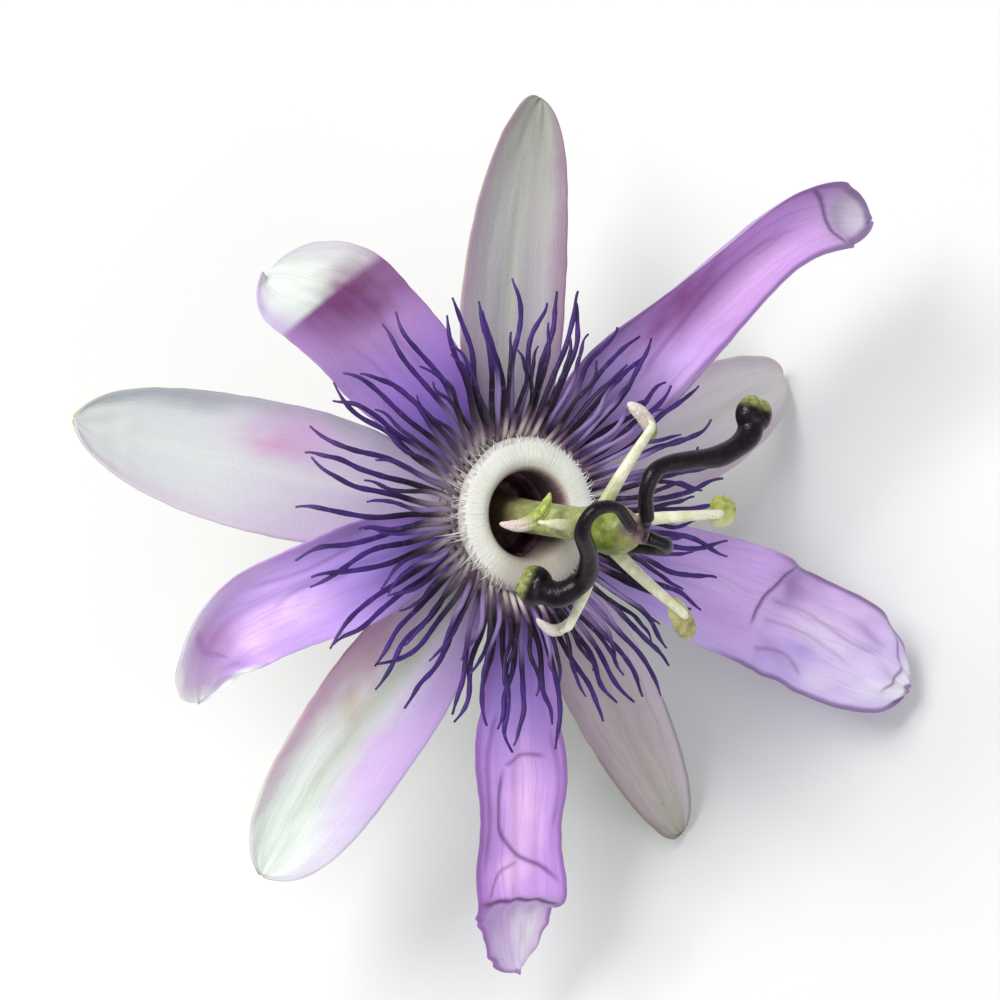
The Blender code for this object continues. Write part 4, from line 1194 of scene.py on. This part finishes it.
def style_piece(number, knots, thin, thick):
    """A dark style, thickening to its end, with a two-lobed stigma whose far face is olive."""
    path = through(knots, STYLE_POINTS)
    shape = Shape()
    root = np.array([*(path[0] * 0.55)[:2], COLUMN_TOP + GAP + OVARY_HEIGHT - 0.7])
    shape.tube(through([root, (root + path[0]) / 2, path[0]], 8), np.linspace(0.95, thin, 8), sides=20)
    x = np.linspace(0, 1, STYLE_POINTS)
    radii = thin + (thick - thin) * x**1.5
    shape.tube(path, (radii - 0.08) * (1 + 0.04 * np.sin(x * 31)), sides=20)
    end = path[-1]
    onward = normalised(end - path[-8])
    across = normalised(np.cross(onward, (0, 0, 1) if abs(onward[2]) < 0.8 else (0, 1, 0)))
    beside = np.cross(onward, across)
    lat = np.linspace(0, math.pi, 30)[:, None]
    lon = circle(40)[None]
    ball = np.stack([np.cos(lat) + 0 * lon, np.sin(lat) * np.cos(lon), np.sin(lat) * np.sin(lon)], axis=-1)
    groove = np.exp(-((ball[..., 1:2]) / 0.28) ** 2) * (ball[..., :1] > -0.2)
    ball = ball * (1 - 0.2 * groove)
    spun = ball[..., :1] * onward + ball[..., 1:2] * across + ball[..., 2:] * beside
    shape.loop_grid(end + spun * STIGMA * 0.96)
    mesh, points = melted(shape, STYLE_VOXEL)
    near = ease((3.2 - np.linalg.norm(points - end, axis=1)) / 1.2)
    central = ease((3.0 - np.linalg.norm(points[:, :2], axis=1)) / 1.2)
    set_value(mesh, "cap", ease(((points - end) @ onward - 0.15) / 1.1) * near)
    # foot: where that painted highlight lies
    set_value(mesh, "foot", ease((23.6 - points[:, 2]) / 1.0) * central)
    name = f"style_{number}"
    finish_piece(name + "_stigma", mesh, COLUMN, style_paint(name + "_skin"), [name], "style")


# ---------------------------------------------------------------- bracts, stalk


def bract_paint():
    paint = Paint("bract_skin", 0.6)
    along = paint.value("along")
    beside = paint.math("ABSOLUTE", paint.value("across"))
    slanting = paint.math("SUBTRACT", paint.times(along, 9.0), paint.times(beside, 2.4))
    ribs = paint.math("SINE", paint.times(slanting, math.tau))
    cloud = paint.noise(600, 4, 0.6)
    skin = paint.over((70, 78, 50), (98, 100, 66), cloud, 0.4, 0.62)
    skin = paint.over(skin, (132, 136, 92), ribs, 0.6, 1.0, 0.4)
    skin = paint.over(skin, (140, 144, 96), beside, 0.1, 0.0, 0.6)
    paint.colour(paint.over(skin, (86, 52, 72), beside, 0.7, 1.0, 0.7))
    paint.bump(0.0002, (cloud, 0.3), (paint.noise(4200), 0.3))
    return paint


def bract_piece(index, paint):
    """A small leaf that rises off the stalk and bends over, with slanting veins and a toothed edge."""
    heading = bearing(math.tau * index / 3 + math.radians(40))
    side = np.cross((0, 0, 1), heading)
    upright = np.array([0, 0, 1])
    slopes = (70, 50, 5, -60)
    mid = (np.arange(BRACT_STEPS) + 0.5) / BRACT_STEPS
    angle = np.radians(blend4(slopes, mid))[:, None]
    moves = (heading * np.cos(angle) + upright * np.sin(angle)) * BRACT_LENGTH / BRACT_STEPS
    start = heading * (STALK_RADIUS + 0.4 + 1.6 * GAP) + upright * BRACT_LEVEL
    line = np.concatenate([[start], start + np.cumsum(moves, axis=0)])
    s, u = np.meshgrid(np.linspace(0, 1, BRACT_ROWS), np.linspace(-1, 1, BRACT_COLUMNS), indexing="ij")
    knots = np.linspace(0, 1, BRACT_STEPS + 1)
    centre = np.stack([np.interp(s, knots, line[:, k]) for k in range(3)], axis=-1)
    slope = np.radians(blend4(slopes, s))[..., None]
    up = heading * -np.sin(slope) + upright * np.cos(slope)
    past = np.clip((s - 0.4) / 0.6, 0, 1)
    width = BRACT_HALF_WIDTH * (0.32 + 0.68 * np.sin(np.minimum(s / 0.4, 1) * math.pi / 2))
    teeth = 0.985 - 0.035 * (1 + np.sin(s * 95)) * np.abs(u) ** 6
    width = width * np.maximum((1 - past**1.6) ** 0.8, 0.03) * teeth
    veins = 0.05 * np.cos(math.tau * (s * 9 - np.abs(u) * 2.4)) * (np.abs(u) > 0.05)
    veins = np.exp(-((u / 0.06) ** 2)) * 0.16 + veins
    sheet = centre + side * (width * u)[..., None] + up * (0.3 * width * u * u - veins)[..., None]
    half = 0.05 + 0.22 * np.sqrt(np.clip(1 - np.abs(u) ** 4, 0, 1))
    shape = Shape()
    shape.blade(sheet, up * half[..., None], along=s, across=u)
    shape.tube(np.linspace(start - heading * 0.8, start + moves[:3].sum(axis=0), 6), 0.5, sides=12)
    name = f"bract_{index + 1}"
    shape.piece(name + "_leaf", BLOOM, paint, [name], "bract")


def stalk_paint():
    paint = Paint("stalk_skin", 0.5, subsurface=0.04)
    turn = paint.value("turn")
    cloud = paint.noise(450, 4, 0.6)
    skin = paint.over((108, 120, 56), (142, 150, 84), cloud, 0.38, 0.64)
    ribs = paint.math("SINE", paint.times(turn, 6.0))
    skin = paint.over(skin, (90, 100, 46), ribs, 0.2, 1.0, 0.35)
    paint.colour(paint.mix(paint.value("cut"), skin, (196, 204, 160)))
    paint.bump(0.0002, (cloud, 0.3), (paint.noise(3600), 0.25))
    return paint


def stalk_piece():
    """The stalk from the cup down to the surface, with a pale face where it was cut."""
    begin = TIPPED @ Vector((0, 0, CUP_FOOT + 0.4))  # inside the cup's foot
    start = TIPPED @ Vector((0, 0, CUP_FOOT - GAP))
    along = (TIPPED @ Vector((0, 0, -1)) - TIPPED @ Vector((0, 0, 0))).normalized()
    path = through([
        start, start + along * 6.5, start + along * 13,
        Vector((-19.5, 6.0, 7.2)), Vector((-26.5, 8.6, 2.3)), Vector((-36.0, 11.6, STALK_RADIUS)),
    ], STALK_POINTS)
    x = np.linspace(0, 1, STALK_POINTS)
    radii = STALK_RADIUS * (0.97 + 0.02 * np.sin(x * 40)) * (1 - 0.02 * ease((x - 0.98) / 0.02))
    shape = Shape()
    shape.tube(np.array([begin, start, path[3]]), [1.7, 1.25, 1.05], sides=STALK_SIDES)
    shape.tube(path, radii, sides=STALK_SIDES)
    end = path[-1]
    back = normalised(path[-2] - end)
    face = np.array([end + back * 0.2, end - back * 0.02, end - back * 0.03])
    shape.tube(face, [1.02, 1.0, 0.85], sides=STALK_SIDES, cut=1)
    points = np.concatenate(shape.points)
    axis = path[::5]
    nearest = np.argmin(np.linalg.norm(points[:, None, :] - axis[None], axis=2), axis=1)
    around = points - axis[nearest]
    shape.values["turn"] = [np.arctan2(around[:, 2], around[:, 1])]
    shape.piece("stalk_skin", in_mm(GROUND), stalk_paint(), ["stalk"], "green")


# ---------------------------------------------------------------- floor, light, camera, in metres


FLOOR_HALF = 3.0
FLOOR_LEVEL = -0.0003
WORLD_TINT = (0.93, 0.96, 1.0, 1)
WORLD_STRENGTH = 0.46
LIT = (0, 0, 0.03)  # what both lights look at
AZIMUTH, ELEVATION = math.radians(0), math.radians(80)
TARGET = Vector((0.0, 0.0015, 0.036))
DISTANCE = 1.1


def floor():
    paint = Paint("floor_paper", 0.85)
    paint.colour(paint.mix(paint.noise(3, 3), (238, 238, 238), (244, 244, 244)))
    mesh = bpy.data.meshes.new("floor")
    signs = ((-1, -1), (1, -1), (1, 1), (-1, 1))
    mesh.from_pydata([(x * FLOOR_HALF, y * FLOOR_HALF, FLOOR_LEVEL) for x, y in signs], [], [(0, 1, 2, 3)])
    mesh.materials.append(paint.material)
    in_scene("floor", mesh)


def area_light(name, place, size, power, tint):
    light = bpy.data.lights.new(name, "AREA")
    light.size = size
    light.energy = power
    light.color = tint
    obj = in_scene(name, light)
    obj.location = place
    obj.rotation_euler = (Vector(LIT) - Vector(place)).to_track_quat("-Z", "Y").to_euler()


def studio():
    world = bpy.data.worlds.new("studio")
    world.use_nodes = True
    sky = world.node_tree.nodes["Background"].inputs
    sky["Color"].default_value = WORLD_TINT
    sky["Strength"].default_value = WORLD_STRENGTH
    bpy.context.scene.world = world
    bpy.context.scene.view_settings.view_transform = "Standard"
    area_light("key", (-0.30, 0.16, 0.62), 0.30, 3.9, (1.0, 0.98, 0.95))
    area_light("fill", (0.45, -0.35, 0.40), 0.5, 1.1, (0.95, 0.97, 1.0))


def camera():
    level = math.cos(ELEVATION)
    back = Vector((math.sin(AZIMUTH) * level, -math.cos(AZIMUTH) * level, math.sin(ELEVATION)))
    data = bpy.data.cameras.new("camera")
    data.lens = 360
    data.sensor_width = 36
    data.clip_start = 0.01
    data.clip_end = 50
    obj = in_scene("camera", data)
    obj.location = TARGET + back * DISTANCE
    obj.rotation_euler = (-back).to_track_quat("-Z", "Y").to_euler()
    bpy.context.scene.camera = obj


def main():
    for slot, tepals, seed in (("sepal", SEPALS, 20), ("petal", PETALS, 80)):
        for index, (name, tepal) in enumerate(tepals.items()):
            tepal_piece(name, tepal, slot, seed + index * 7)
    corona_pieces()
    ring_piece()
    cup_piece()
    column_piece()
    for index, stamen in enumerate(STAMENS):
        anther_piece(index + 1, stamen)
    ovary_piece()
    for index, style in enumerate(STYLES):
        style_piece(index + 1, *style)
    bracts = bract_paint()
    for index in range(3):
        bract_piece(index, bracts)
    stalk_piece()
    floor()
    studio()
    camera()


main()
